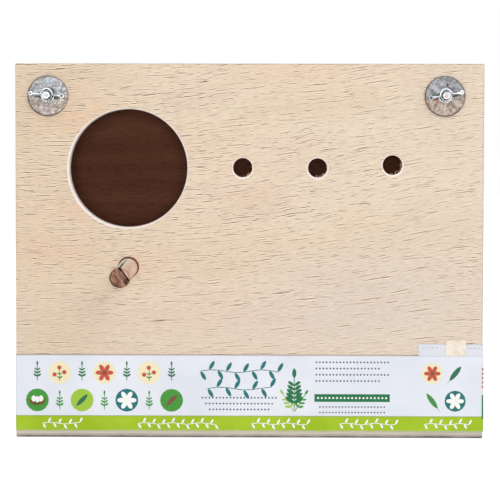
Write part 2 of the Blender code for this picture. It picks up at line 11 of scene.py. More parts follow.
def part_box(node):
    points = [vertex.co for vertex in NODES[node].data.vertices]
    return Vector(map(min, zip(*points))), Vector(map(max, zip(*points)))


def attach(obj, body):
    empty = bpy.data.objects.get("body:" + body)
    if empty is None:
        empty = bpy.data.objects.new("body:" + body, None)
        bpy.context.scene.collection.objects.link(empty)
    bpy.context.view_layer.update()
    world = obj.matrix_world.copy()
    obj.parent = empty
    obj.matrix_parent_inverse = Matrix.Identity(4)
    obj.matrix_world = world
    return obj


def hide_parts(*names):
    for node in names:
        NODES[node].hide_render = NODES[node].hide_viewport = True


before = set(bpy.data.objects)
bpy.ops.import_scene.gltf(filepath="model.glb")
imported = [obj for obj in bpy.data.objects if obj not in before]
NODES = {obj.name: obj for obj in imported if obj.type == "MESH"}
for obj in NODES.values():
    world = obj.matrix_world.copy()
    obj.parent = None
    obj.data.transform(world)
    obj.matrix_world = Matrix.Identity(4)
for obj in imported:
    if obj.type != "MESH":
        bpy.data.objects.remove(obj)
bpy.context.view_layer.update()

MM = 0.001

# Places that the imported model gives
BOARD_LOW, BOARD_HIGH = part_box("front_board")
FLOOR_LOW, FLOOR_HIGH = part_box("floor_board")
PERCH_LOW, PERCH_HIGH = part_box("perch_dowel")
BAND_LOW, BAND_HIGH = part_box("paper_band")
TAPE_LOW, TAPE_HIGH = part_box("tape_piece")
FRONT_FACE = BOARD_LOW.y
INSIDE_FACE = BOARD_HIGH.y
PLY = INSIDE_FACE - FRONT_FACE
HALF_WIDTH = BOARD_HIGH.x
HALF_DEPTH = -FRONT_FACE
BOARD_TOP = BOARD_HIGH.z
BAND_FOOT = BAND_LOW.z - 0.6 * MM
BAND_HEIGHT = 41.5 * MM
BAND_TOP = BAND_FOOT + BAND_HEIGHT

# Vertices closer than this are one
SAME_POINT = 0.000002

# The perch droops a little, and turns about its middle where it leaves the front board
PERCH_DROOP = math.radians(1.8)
PERCH_RADIUS = (PERCH_HIGH.x - PERCH_LOW.x) / 2
PERCH_REACH = FRONT_FACE - PERCH_LOW.y
PERCH_TAIL = PERCH_HIGH.y - FRONT_FACE
PERCH_PIVOT = Vector((
    (PERCH_LOW.x + PERCH_HIGH.x) / 2,
    FRONT_FACE,
    (PERCH_LOW.z + PERCH_HIGH.z + (PERCH_REACH - PERCH_TAIL) * math.tan(PERCH_DROOP)) / 2))

# The round holes in the front board: middle and radius
PERCH_HOLE = (Vector((-0.0657, FRONT_FACE, 0.0928)), 5.7 * MM)
ENTRY_HOLE = (Vector((-0.0657, FRONT_FACE, 0.1466)), 32 * MM)
VENT_HOLES = (
    (Vector((-0.00368, FRONT_FACE, 0.14692)), 5.25 * MM),
    (Vector((0.03698, FRONT_FACE, 0.14681)), 5.25 * MM),
    (Vector((0.0775, FRONT_FACE, 0.14844)), 5.25 * MM),
)

# The camera, fitted to the corners, holes, washers and perch in the photograph
CAMERA_DISTANCE = 1.1
CAMERA_X = 0.0119
CAMERA_Z = 0.1495
CAMERA_PAN = math.radians(0.6)
CAMERA_TILT = math.radians(2.46)
CAMERA_ROLL = math.radians(0.1)
CAMERA_LENS = 146.0


def paint(red, green, blue):
    """A colour written as 0 to 255, as linear values for a shader."""
    linear = []
    for level in (red, green, blue):
        share = level / 255
        linear.append(share / 12.92 if share <= 0.04045 else ((share + 0.055) / 1.055) ** 2.4)
    return (*linear, 1)


class Signal:
    """A node's output; arithmetic with it adds math nodes."""

    def __init__(self, recipe, socket):
        self.recipe = recipe
        self.socket = socket

    def __add__(self, other):
        return self.recipe.math("ADD", self, other)

    def __sub__(self, other):
        return self.recipe.math("SUBTRACT", self, other)

    def __rsub__(self, other):
        return self.recipe.math("SUBTRACT", other, self)

    def __mul__(self, other):
        return self.recipe.math("MULTIPLY", self, other)

    def __truediv__(self, other):
        return self.recipe.math("DIVIDE", self, other)

    def __pow__(self, other):
        return self.recipe.math("POWER", self, other)


class Recipe:
    """One material: a Principled shader and the nodes that feed it."""

    def __init__(self, name, roughness, metallic=0.0, specular=0.5):
        self.material = bpy.data.materials.new(name)
        self.material.use_nodes = True
        self.nodes = self.material.node_tree.nodes
        self.links = self.material.node_tree.links
        self.shader = self.nodes["Principled BSDF"]
        self.shader.inputs["Roughness"].default_value = roughness
        self.shader.inputs["Metallic"].default_value = metallic
        self.shader.inputs["Specular IOR Level"].default_value = specular
        coordinates = self.nodes.new("ShaderNodeTexCoord").outputs
        self.place = Signal(self, coordinates["Object"])
        self.normal = Signal(self, coordinates["Normal"])
        self.sheet_map = Signal(self, coordinates["UV"])

    def feed(self, socket, value):
        if isinstance(value, Signal):
            value = value.socket
        if isinstance(value, bpy.types.NodeSocket):
            self.links.new(value, socket)
        else:
            socket.default_value = value

    def add(self, kind, inputs, **settings):
        """A node with its settings and its inputs, each a value or another node's output."""
        made = self.nodes.new(kind)
        for key, value in settings.items():
            setattr(made, key, value)
        for key, value in inputs.items():
            self.feed(made.inputs[key], value)
        return made

    def signal(self, kind, inputs, output=0, **settings):
        """A new node's output."""
        return Signal(self, self.add(kind, inputs, **settings).outputs[output])

    def math(self, operation, *values, clamp=False):
        return self.signal("ShaderNodeMath", dict(enumerate(values)), operation=operation, use_clamp=clamp)

    def larger(self, first, second):
        return self.math("MAXIMUM", first, second)

    def vector_math(self, operation, *values, output=0):
        return self.signal("ShaderNodeVectorMath", dict(enumerate(values)), output, operation=operation)

    def length(self, vector):
        return self.vector_math("LENGTH", vector, output="Value")

    def dot(self, vector, direction):
        """How far a vector reaches in a direction."""
        return self.vector_math("DOT_PRODUCT", vector, direction, output="Value")

    def flat_from(self, centre):
        """The way here from a point, seen along Y."""
        from_centre = self.vector_math("SUBTRACT", self.place, tuple(centre))
        return self.vector_math("MULTIPLY", from_centre, (1, 0, 1))

    def split(self, vector):
        outputs = self.add("ShaderNodeSeparateXYZ", {0: vector}).outputs
        return {axis: Signal(self, outputs[axis]) for axis in "XYZ"}

    def join(self, x, y, z=0.0):
        return self.signal("ShaderNodeCombineXYZ", {0: x, 1: y, 2: z})

    def mapped(self, scale, location=(0, 0, 0), rotation=(0, 0, 0), vector=None):
        """The place, or another vector, turned, stretched and moved."""
        inputs = {"Vector": vector or self.place, "Scale": scale, "Location": location, "Rotation": rotation}
        return self.signal("ShaderNodeMapping", inputs)

    def noise(self, vector, detail=2.0, rough=0.5):
        """Soft noise, with cells one unit wide."""
        inputs = {"Vector": vector, "Scale": 1.0, "Detail": detail, "Roughness": rough}
        return self.signal("ShaderNodeTexNoise", inputs)

    def mottle(self, scale, location=(0, 0, 0), rotation=(0, 0, 0), **finer):
        """Noise through the piece, with so many cells in a metre along each axis."""
        return self.noise(self.mapped(scale, location, rotation), **finer)

    def fibres(self, along, along_scale, across, across_scale, **finer):
        """Noise drawn out along the grain."""
        drawn_out = self.join(along * along_scale, across * across_scale)
        return self.noise(drawn_out, **finer)

    def step(self, value, low, high, bottom=0.0, top=1.0):
        """A smooth climb from bottom to top while value goes from low to high."""
        inputs = {"Value": value, 1: low, 2: high, 3: bottom, 4: top}
        return self.signal("ShaderNodeMapRange", inputs, interpolation_type="SMOOTHSTEP")

    def blend(self, share, first, second, kind="MIX"):
        """A colour between first and second."""
        inputs = {0: share, 6: first, 7: second}
        return self.signal("ShaderNodeMix", inputs, 2, data_type="RGBA", blend_type=kind)

    def tint(self, colour, share, tone):
        """The colour, drawn towards a tone written as 0 to 255."""
        return self.blend(share, colour, paint(*tone))

    def shaded(self, colour, shade):
        """The colour, made lighter or darker by a shade near 1."""
        return self.blend(1.0, colour, self.join(shade, shade, shade), "MULTIPLY")

    def bands(self, value, stops, smooth=True):
        """A colour ramp from its (place, colour) stops."""
        node = self.add("ShaderNodeValToRGB", {0: value})
        ramp = node.color_ramp
        ramp.interpolation = "LINEAR" if smooth else "CONSTANT"
        while len(ramp.elements) < len(stops):
            ramp.elements.new(0.5)
        for element, (place, colour) in zip(ramp.elements, stops):
            element.position = place
            element.color = colour
        return Signal(self, node.outputs[0])

    def tones(self, value, *stops):
        """A colour ramp from (place, tone) stops, with each tone written as 0 to 255."""
        return self.bands(value, [(place, paint(*tone)) for place, tone in stops])

    def spot(self, centre, half_along, half_up, rise=0.0, soft=0.5):
        """1 in an oval patch on a face that looks along Y, and 0 outside it."""
        inputs = {"Vector": self.place, "Location": tuple(centre)}
        inputs["Rotation"] = (0, -rise, 0)
        inputs["Scale"] = (half_along, 1000, half_up)
        near = self.signal("ShaderNodeMapping", inputs, vector_type="TEXTURE")
        return self.step(self.length(near), 1 - soft, 1 + soft, 1.0, 0.0)

    def bump(self, height, distance, strength=1.0):
        inputs = {"Height": height, "Distance": distance, "Strength": strength}
        return self.signal("ShaderNodeBump", inputs)

    def finish(self, colour, normal=None, roughness=None):
        self.feed(self.shader.inputs["Base Color"], colour)
        if normal is not None:
            self.feed(self.shader.inputs["Normal"], normal)
        if roughness is not None:
            self.feed(self.shader.inputs["Roughness"], roughness)
        return self.material


# A stroke in its cell: its shortest half length, how much longer it may be, how deep the faintest is,
# and how much wider, squared, the pale halo beside it reaches, a painted highlight
STROKE_HALF = 0.14
STROKE_EXTRA = 0.32
STROKE_FAINTEST = 0.4
HALO_SPREAD = 12


def strokes(recipe, along, across, length, pitch, share, thinness):
    """Short strokes along the grain, one in that share of the cells, and a painted highlight beside them."""
    place = recipe.join(along / length, across / pitch)
    inputs = {"Vector": place, "Scale": 1.0}
    cell = recipe.add("ShaderNodeTexVoronoi", inputs, voronoi_dimensions="2D").outputs
    offset = recipe.split(recipe.vector_math("SUBTRACT", place, cell["Position"]))
    chance = recipe.split(cell["Color"])
    far = (offset["X"] / (chance["X"] * STROKE_EXTRA + STROKE_HALF)) ** 2.0
    wide = (offset["Y"] / thinness) ** 2.0
    stroke = recipe.step(far + wide, 0.25, 1.0, 1.0, 0.0)
    around = recipe.step(far + wide / HALO_SPREAD, 0.5, 1.0, 1.0, 0.0)
    halo_highlight = recipe.math("SUBTRACT", around, stroke, clamp=True)
    present = recipe.math("LESS_THAN", chance["Y"], share)
    weight = present * (chance["Z"] * (1 - STROKE_FAINTEST) + STROKE_FAINTEST)
    return stroke * weight, halo_highlight * weight


def board_axes(recipe, axes):
    """A board's coordinates along its grain, across it and through it, and how far a face is a sawn edge."""
    place = recipe.split(recipe.place)
    along, across, through = (place[axis] for axis in axes)
    facing = recipe.math("ABSOLUTE", recipe.split(recipe.normal)[axes[2]])
    return along, across, through, recipe.step(facing, 0.45, 0.8, 1.0, 0.0)


def ply_edge(recipe, along, across, through, start, edge_tones):
    """The sawn edge's layers: thin face veneers, and cores whose grain runs along and across in turn."""
    level = (through - start) / PLY
    wander = recipe.mottle((60, 60, 60), detail=1.0) * 0.05 - 0.025
    veneer, long_core, end_core, glue = (paint(*tone) for tone in edge_tones)
    stops = [(0.0, veneer), (0.075, glue), (0.095, end_core), (0.33, glue), (0.35, long_core)]
    stops += [(0.645, glue), (0.665, end_core), (0.9, glue), (0.92, veneer)]
    layers = recipe.bands(level + wander, stops, smooth=False)
    drawn = recipe.join(along * 60.0, through * 4000.0, across * 60.0)
    specks = recipe.mottle((2200, 2200, 2200))
    grain = recipe.noise(drawn) * 0.6 + specks * 0.4
    return recipe.shaded(layers, recipe.step(grain, 0.3, 0.7, 0.72, 1.12)), grain


def board_relief(recipe, face, edge_grain, sawn):
    """The height of the grain, on a board's faces and on its sawn edges."""
    return face * (1.0 - sawn) + edge_grain * sawn * 1.6


# The pale front veneer's grain: level at the left, and rising to the right from the middle on
LEAN_START = -0.12
LEAN_RUN = 0.12
LEAN_SLOPE = 0.15


def leaning(recipe, along, across):
    """The height across the grain, followed along strokes that rise to the right, less so near the foot."""
    share = recipe.math("DIVIDE", along - LEAN_START, LEAN_RUN, clamp=True)
    bent = share ** 2.0 * (LEAN_RUN / 2 * LEAN_SLOPE)
    straight_run = recipe.larger(along - (LEAN_START + LEAN_RUN), 0.0)
    rise = (straight_run * LEAN_SLOPE + bent) * recipe.step(across, 0.03, 0.14, 0.45, 1.0)
    waves = recipe.mottle((14, 14, 30)) * 0.007 - 0.0035
    ripples = recipe.mottle((45, 45, 90), detail=1.0) * 0.0005 - 0.00025
    return across - rise + waves + ripples


# Patches in the pale veneer, and one dark dash: middle (x, z), half sizes, tone and strength
VENEER_PATCHES = (
    ((-0.0930, 0.1736), (0.016, 0.007), (238, 201, 166), 0.50),
    ((-0.0900, 0.1238), (0.014, 0.006), (236, 200, 168), 0.40),
    ((-0.1090, 0.1020), (0.024, 0.007), (235, 200, 172), 0.50),
    ((0.0200, 0.1985), (0.024, 0.006), (240, 206, 184), 0.50),
    ((0.0030, 0.1320), (0.014, 0.005), (236, 202, 180), 0.40),
    ((0.0700, 0.0780), (0.050, 0.022), (224, 210, 200), 0.45),
    ((-0.0300, 0.0660), (0.040, 0.008), (232, 204, 186), 0.35),
    ((-0.0478, 0.0638), (0.0048, 0.0003), (92, 58, 42), 0.9),
)

# Pale rims round the holes, a painted highlight of the lit bore walls: a hole's middle and radius, the ring's
# shift right and up, and where it ends, in millimetres
RIM_RINGS = (
    (*ENTRY_HOLE, (-0.55, -0.4), 0.45, 1.0),
    (*ENTRY_HOLE, (0.25, 0.1), 0.15, 0.75),
    (*VENT_HOLES[0], (0.0, -0.3), 0.4, 0.95),
    (*VENT_HOLES[1], (0.0, -0.4), 0.5, 1.05),
    (*VENT_HOLES[2], (0.05, -0.35), 0.45, 1.0),
)

# The holes' bores: nearly white as a painted highlight on their walls, and scorched brown in the last vent
BORE_TONES = ((255, 246, 240), (255, 246, 240), (255, 246, 240), (150, 92, 66))


def veneer_ground(recipe, along, across):
    """The veneer's cream ground: beige and blushing areas, paler to the right and warmer at the left."""
    areas = recipe.mottle((9, 9, 26), location=(0.3, 0, 1.7), detail=3.0, rough=0.55)
    colour = recipe.tones(areas, (0.30, (227, 202, 174)), (0.44, (234, 211, 184)), (0.55, (237, 217, 193)),
                          (0.70, (231, 208, 185)))
    blush = recipe.mottle((16, 16, 45), location=(5.1, 0, 2.2))
    colour = recipe.tint(colour, recipe.step(blush, 0.52, 0.72, 0.0, 0.55), (238, 211, 188))
    colour = recipe.tint(colour, recipe.step(along, -0.04, 0.12, 0.0, 0.5), (237, 222, 202))
    colour = recipe.tint(colour, recipe.step(across, 0.11, 0.06, 0.0, 0.5), (233, 218, 202))
    colour = recipe.tint(colour, recipe.step(along, -0.04, -0.115, 0.0, 0.4), (228, 202, 170))
    for (x, z), (half_along, half_up), tone, share in VENEER_PATCHES:
        patch = recipe.spot((x, FRONT_FACE, z), half_along, half_up, rise=0.08, soft=0.9)
        colour = recipe.tint(colour, patch * share, tone)
    return colour


def veneer_pores(recipe, along, across, height):
    """Short dark pores and torn specks along the grain, and the painted highlight beside the pores."""
    crowd = recipe.mottle((22, 22, 50), location=(1.3, 0, 0.4), detail=1.0)
    calmer = recipe.step(across, 0.05, 0.11, 0.6, 1.0)
    sparser = recipe.step(along, -0.06, 0.115, 1.15, 0.8)
    crowded = recipe.step(crowd, 0.36, 0.62, 0.65, 1.0) * calmer * sparser
    short, by_short = strokes(recipe, along, height, length=0.0108, pitch=0.0021, share=0.7, thinness=0.108)
    shorter, by_shorter = strokes(recipe, along + 0.31, height, length=0.0062, pitch=0.0013, share=0.5,
                                  thinness=0.155)
    long, by_long = strokes(recipe, along + 0.77, height, length=0.024, pitch=0.0032, share=0.75,
                            thinness=0.07)
    torn = recipe.step(recipe.fibres(along, 170.0, height, 2400.0), 0.6, 0.7, 0.0, 0.36)
    pores = recipe.larger(recipe.larger(short, shorter * 0.75), torn)
    pores = recipe.larger(pores * crowded, long * 0.85)
    halo_highlight = recipe.larger(by_short, by_shorter * 0.75)
    halo_highlight = recipe.larger(halo_highlight * crowded, by_long * 0.85)
    return pores, halo_highlight


def ring_shade(recipe, centre, radius, inner, outer):
    """1 on the face next to a hole's edge, and 0 a little farther out."""
    return recipe.step(recipe.length(recipe.flat_from(centre)), radius + inner, radius + outer, 1.0, 0.0)


def veneer_rims(recipe, colour, across):
    """Pale rims round the holes as painted highlight, a pale fuzz round the perch, and a painted shadow above
    the paper.
    """
    for centre, radius, (right, up), inner, outer in RIM_RINGS:
        # Painted highlight: a pale ring round each hole, shifted so that it is widest at the lower left.
        pale = ring_shade(recipe, centre + Vector((right, 0, up)) * MM, radius, inner * MM, outer * MM)
        colour = recipe.tint(colour, pale * 0.85, (250, 240, 233))
    fuzz = ring_shade(recipe, *PERCH_HOLE, 0.0, 0.7 * MM)
    colour = recipe.tint(colour, fuzz * 0.35, (246, 214, 186))
    # Painted shadow: a darker line on the wood along the paper's top edge.
    painted_shadow_over_paper = recipe.step(across, BAND_TOP + 0.15 * MM, BAND_TOP + 0.8 * MM, 0.6, 0.0)
    return recipe.tint(colour, painted_shadow_over_paper, (140, 116, 98))


def veneer_wear(recipe, colour, along, across):
    """Scuffs along the board's top edge and down its right edge."""
    worn = recipe.mottle((70, 70, 180), location=(2.1, 0, 0), detail=3.0, rough=0.65)
    near_top = recipe.step(across, BOARD_TOP - 0.7 * MM, BOARD_TOP - 0.1 * MM)
    top_marks = near_top * recipe.step(worn, 0.44, 0.54, 0.15, 0.85)
    colour = recipe.tint(colour, top_marks, (150, 112, 84))
    near_side = recipe.step(along, HALF_WIDTH - 0.8 * MM, HALF_WIDTH - 0.2 * MM)
    side_marks = near_side * recipe.step(worn, 0.35, 0.6, 0.5, 0.9)
    return recipe.tint(colour, side_marks, (186, 176, 176))


# The sawn edges' tones: face veneer, long core, end core and glue. A brown board's face veneer, left out
# here, has the board's own middle tone.
PALE_EDGE = ((246, 236, 226), (232, 208, 186), (240, 224, 208), (186, 154, 130))
BROWN_EDGE = ((176, 138, 108), (140, 100, 76), (70, 44, 32))
GREYED_EDGE = ((212, 202, 194), (200, 188, 180), (166, 150, 140))


def pale_veneer():
    """The front board: a cream veneer with beige patches, fine fibres and short dark pores."""
    recipe = Recipe("pale_veneer", roughness=0.72, specular=0.3)
    along, across, through, sawn = board_axes(recipe, "XZY")
    height = leaning(recipe, along, across)
    fibre = recipe.fibres(along, 190.0, height, 2700.0, detail=3.0, rough=0.65)
    streak = recipe.fibres(along, 26.0, height, 620.0, detail=3.0, rough=0.6)
    streaked = recipe.step(streak, 0.3, 0.7, -0.03, 0.02)
    shade = recipe.step(fibre, 0.32, 0.68, 0.85, 1.02) + streaked
    colour = recipe.shaded(veneer_ground(recipe, along, across), shade)
    pores, halo_highlight = veneer_pores(recipe, along, across, height)
    # Painted highlight: a pale halo beside the pores.
    colour = recipe.tint(colour, halo_highlight * 0.7, (255, 235, 211))
    colour = recipe.tint(colour, pores * 0.95, (72, 40, 22))
    colour = veneer_rims(recipe, colour, across)
    colour = veneer_wear(recipe, colour, along, across)
    edge, edge_grain = ply_edge(recipe, along, across, through, FRONT_FACE, PALE_EDGE)
    colour = recipe.blend(sawn, colour, edge)
    # Painted highlight: the bore walls drawn towards nearly white.
    for (centre, radius), tone in zip((ENTRY_HOLE, *VENT_HOLES), BORE_TONES):
        bore = ring_shade(recipe, centre, radius, 0.1 * MM, 0.3 * MM)
        colour = recipe.tint(colour, bore * sawn * 0.8, tone)
    dents = fibre * 0.25 - pores
    return recipe.finish(colour, recipe.bump(board_relief(recipe, dents, edge_grain, sawn), 0.00012, 0.8))


# The floor board's edge, from its foot up: two heights in millimetres, the share at each, and the tone. The
# dark last row is a painted shadow along the foot.
FOOT_BANDS_AND_SHADOW = (
    (1.5, 2.6, 0.0, 0.6, (222, 212, 198)),
    (1.2, 2.0, 0.3, 0.0, (140, 128, 124)),
    (0.35, 0.8, 0.9, 0.0, (64, 56, 54)),
)


def edge_bands_and_foot_shadow(recipe, colour, through, foot):
    """Bands along the floor board's edge: pale above, dimmer lower down, and a painted shadow at its foot."""
    edge_wobble = recipe.mottle((120, 120, 120), detail=3.0)
    level = through + edge_wobble * 0.0014 - 0.0007
    for low, high, low_share, high_share, tone in FOOT_BANDS_AND_SHADOW:
        share = recipe.step(level, foot + low * MM, foot + high * MM, low_share, high_share)
        # The last band is painted shadow.
        colour = recipe.tint(colour, share, tone)
    return colour


def brown_veneer(name, axes, start, tones, edge_tones=BROWN_EDGE, pore_share=0.75, shadowed_foot=None):
    """A board of reddish brown hardwood ply, with its grain along the first axis."""
    recipe = Recipe(name, roughness=0.74, specular=0.25)
    along, across, through, sawn = board_axes(recipe, axes)
    height = recipe.mottle((9, 9, 9)) * 0.008 + across
    figure = recipe.fibres(along, 4.0, height, 120.0, detail=3.0, rough=0.55)
    fibre = recipe.fibres(along, 90.0, height, 2400.0, detail=3.0, rough=0.6)
    colour = recipe.tones(figure, *zip((0.3, 0.5, 0.7), tones))
    colour = recipe.shaded(colour, recipe.step(fibre, 0.3, 0.7, 0.86, 1.08))
    pores, _ = strokes(recipe, along, height, length=0.0075, pitch=0.0013, share=0.75, thinness=0.15)
    colour = recipe.tint(colour, pores * pore_share, (58, 34, 24))
    edge, edge_grain = ply_edge(recipe, along, across, through, start, (tones[1], *edge_tones))
    colour = recipe.blend(sawn, colour, edge)
    if shadowed_foot is not None:
        colour = edge_bands_and_foot_shadow(recipe, colour, through, shadowed_foot)
    dents = fibre * 0.3 - pores
    return recipe.finish(colour, recipe.bump(board_relief(recipe, dents, edge_grain, sawn), 0.00015, 0.8))


def pine_wood():
    """The nest board: planed pine with soft growth bands and end grain on its short sides."""
    recipe = Recipe("planed_pine", roughness=0.7, specular=0.3)
    along, across, _, sawn = board_axes(recipe, "XYZ")
    height = recipe.mottle((5, 9, 9)) * 0.03 + across
    rings = recipe.math("SINE", height * 900.0)
    colour = recipe.blend(recipe.step(rings, 0.2, 1.0), paint(232, 202, 158), paint(204, 156, 104))
    fibre = recipe.fibres(along, 80.0, height, 2200.0, detail=3.0, rough=0.6)
    colour = recipe.shaded(colour, recipe.step(fibre, 0.3, 0.7, 0.9, 1.06))
    colour = recipe.tint(colour, sawn * 0.45, (186, 142, 98))
    return recipe.finish(colour, recipe.bump(fibre, 0.0001, 0.6))


# The perch's crack follows a chord of its end, square to a direction that rises to the right
CHORD_ANGLE = math.radians(36)
CHORD_SHARE = 0.58


def inside_crack(recipe):
    """1 on the crack's walls, which don't look away from the dowel's drooping axis, and 0 outside."""
    place = recipe.split(recipe.vector_math("SUBTRACT", recipe.place, tuple(PERCH_PIVOT)))
    up = place["Z"] - place["Y"] * math.tan(PERCH_DROOP)
    outwards = recipe.vector_math("NORMALIZE", recipe.join(place["X"], 0.0, up))
    return recipe.step(recipe.dot(outwards, recipe.normal), 0.62, 0.8, 1.0, 0.0)


def dowel_side(recipe):
    """The dowel's round side: pale wood with painted light, rosy at the right and yellowish above, and
    painted shade in its crack.
    """
    right = recipe.split(recipe.normal)["X"]
    patches = recipe.mottle((180, 40, 180), detail=3.0)
    side = recipe.tones(patches, (0.34, (196, 160, 132)), (0.48, (236, 212, 190)), (0.64, (254, 244, 226)))
    # Painted light: a rosy tint on the right side, and a pale yellowish highlight where the side looks up.
    side = recipe.tint(side, recipe.step(right, 0.1, 0.7, 0.0, 0.65), (240, 202, 182))
    sunny = recipe.step(right, -0.7, -0.3) * recipe.step(right, 0.1, 0.4, 1.0, 0.0)
    side = recipe.tint(side, sunny * 0.6, (252, 250, 232))
    fibre = recipe.mottle((2400, 70, 2400))
    side = recipe.shaded(side, recipe.step(fibre, 0.3, 0.7, 0.88, 1.05))
    # Painted shade on the crack's walls.
    return recipe.tint(side, inside_crack(recipe), (54, 30, 22)), fibre


def dowel_end(recipe, end_tones):
    """The dowel's rough end: saw lines along the crack, painted shade for a hollow, and a dark rim at its
    lower left.
    """
    turned_place = recipe.mapped((1, 1, 1), rotation=(0, CHORD_ANGLE, 0))
    saw_lines = recipe.noise(recipe.mapped((1700, 500, 230), vector=turned_place), detail=3.0, rough=0.6)
    end = recipe.tones(saw_lines, *zip((0.32, 0.5, 0.66), end_tones))
    tip = PERCH_PIVOT + Vector((0, -PERCH_REACH, -PERCH_REACH * math.tan(PERCH_DROOP)))
    # Painted shade: a dark spot standing for a hollow in the end.
    hollow = recipe.spot(tip + PERCH_RADIUS * Vector((0.66, 0, -0.48)), 1.5 * MM, 0.8 * MM, -0.95)
    end = recipe.tint(end, hollow * 0.85, (46, 20, 16))
    from_tip = recipe.flat_from(tip)
    rim = recipe.step(recipe.length(from_tip), PERCH_RADIUS - 0.75 * MM, PERCH_RADIUS - 0.25 * MM)
    low_left = recipe.step(recipe.dot(from_tip, (-0.83, 0, -0.55)), 0.0, 0.003, 0.2, 0.8)
    return recipe.tint(end, rim * low_left, (84, 52, 40)), saw_lines


def dowel_wood(name, end_tones):
    """The perch: pale along its sides, and rough end grain on its end."""
    recipe = Recipe(name, roughness=0.75, specular=0.25)
    sawn = recipe.step(recipe.math("ABSOLUTE", recipe.split(recipe.normal)["Y"]), 0.6, 0.85)
    side, fibre = dowel_side(recipe)
    end, saw_lines = dowel_end(recipe, end_tones)
    relief = fibre * 0.4 + saw_lines * sawn
    return recipe.finish(recipe.blend(sawn, side, end), recipe.bump(relief, 0.0003, 0.8))


def glue_and_gap_shade():
    # Glue, coloured dark brown as painted shade in the perch's gap.
    recipe = Recipe("glue_and_gap_shade", roughness=0.6, specular=0.3)
    clots = recipe.mottle((500, 500, 500))
    return recipe.finish(recipe.tones(clots, (0.35, (84, 50, 32)), (0.65, (124, 80, 54))))


def raw_splinter():
    """Torn fibres at the rims of the holes."""
    recipe = Recipe("torn_fibres", roughness=0.8, specular=0.2)
    fibre = recipe.mottle((400, 400, 1200))
    colour = recipe.tones(fibre, (0.35, (176, 140, 112)), (0.6, (244, 226, 208)))
    return recipe.finish(colour, recipe.bump(fibre, 0.0001))


def zinc_with_painted_light(name, centre, core, openings):
    """Bolt and wing nut with painted light: bright on the outward faces, grey on the sides, nearly black
    below.
    """
    recipe = Recipe(name, roughness=0.45, metallic=0.85)
    wear = recipe.mottle((900, 900, 900), detail=3.0)
    bright = recipe.tones(wear, (0.3, (190, 198, 202)), (0.5, (212, 218, 221)), (0.7, (228, 230, 230)))
    grey = recipe.tones(wear, (0.3, (118, 124, 126)), (0.5, (146, 150, 152)), (0.7, (170, 174, 176)))
    black = recipe.tones(wear, (0.3, (30, 34, 34)), (0.5, (50, 54, 54)), (0.7, (84, 88, 88)))
    normal = recipe.split(recipe.normal)
    # Painted light: faces that look out and up are bright, and faces that look down are nearly black.
    dull = recipe.blend(recipe.step(normal["Z"], 0.1, 0.7), black, grey)
    outward = normal["Z"] * 0.45 - normal["Y"]
    colour = recipe.blend(recipe.step(outward, 0.45, 0.75), dull, bright)

    flat = recipe.flat_from(centre)
    from_axis = recipe.length(flat)
    worn_core = recipe.tones(wear, (0.38, [level - 26 for level in core]), (0.6, core))
    colour = recipe.blend(recipe.step(from_axis, 1.0 * MM, 1.7 * MM, 1.0, 0.0), colour, worn_core)
    # Painted shade: dark discs in the open middles of the beads at the wings' tips.
    for opening_middle, radius in openings:
        opening = recipe.spot(opening_middle, radius, radius, soft=0.2)
        colour = recipe.tint(colour, opening * 0.9, (46, 50, 60))
    # Painted shade: a blue-grey ring between the hub and the arch, above the bolt.
    above = recipe.step(recipe.split(flat)["Z"], 0.0, 1.5 * MM)
    ring = recipe.step(from_axis, 2.6 * MM, 2.75 * MM) * recipe.step(from_axis, 3.1 * MM, 3.25 * MM, 1.0, 0.0)
    colour = recipe.tint(colour, ring * above * 0.8, (132, 142, 156))
    scuffs = recipe.mottle((300, 1400, 2600), rotation=(0, 0.5, 0))
    return recipe.finish(colour, recipe.bump(scuffs, 0.00003, 0.5), recipe.step(scuffs, 0.35, 0.7, 0.4, 0.56))


# The washers' plating, cool above the bolt, and warm below it as a painted reflection of the wood
COOL_PLATING = ((0.36, (106, 108, 106)), (0.5, (140, 140, 142)), (0.64, (166, 166, 172)))
WARM_REFLECTED_TONES = ((0.36, (122, 107, 96)), (0.5, (150, 136, 126)), (0.64, (172, 161, 153)))


def darker(stops, drop):
    """A ramp's stops with every tone darker by drop."""
    return [(place, [level - drop for level in tone]) for place, tone in stops]


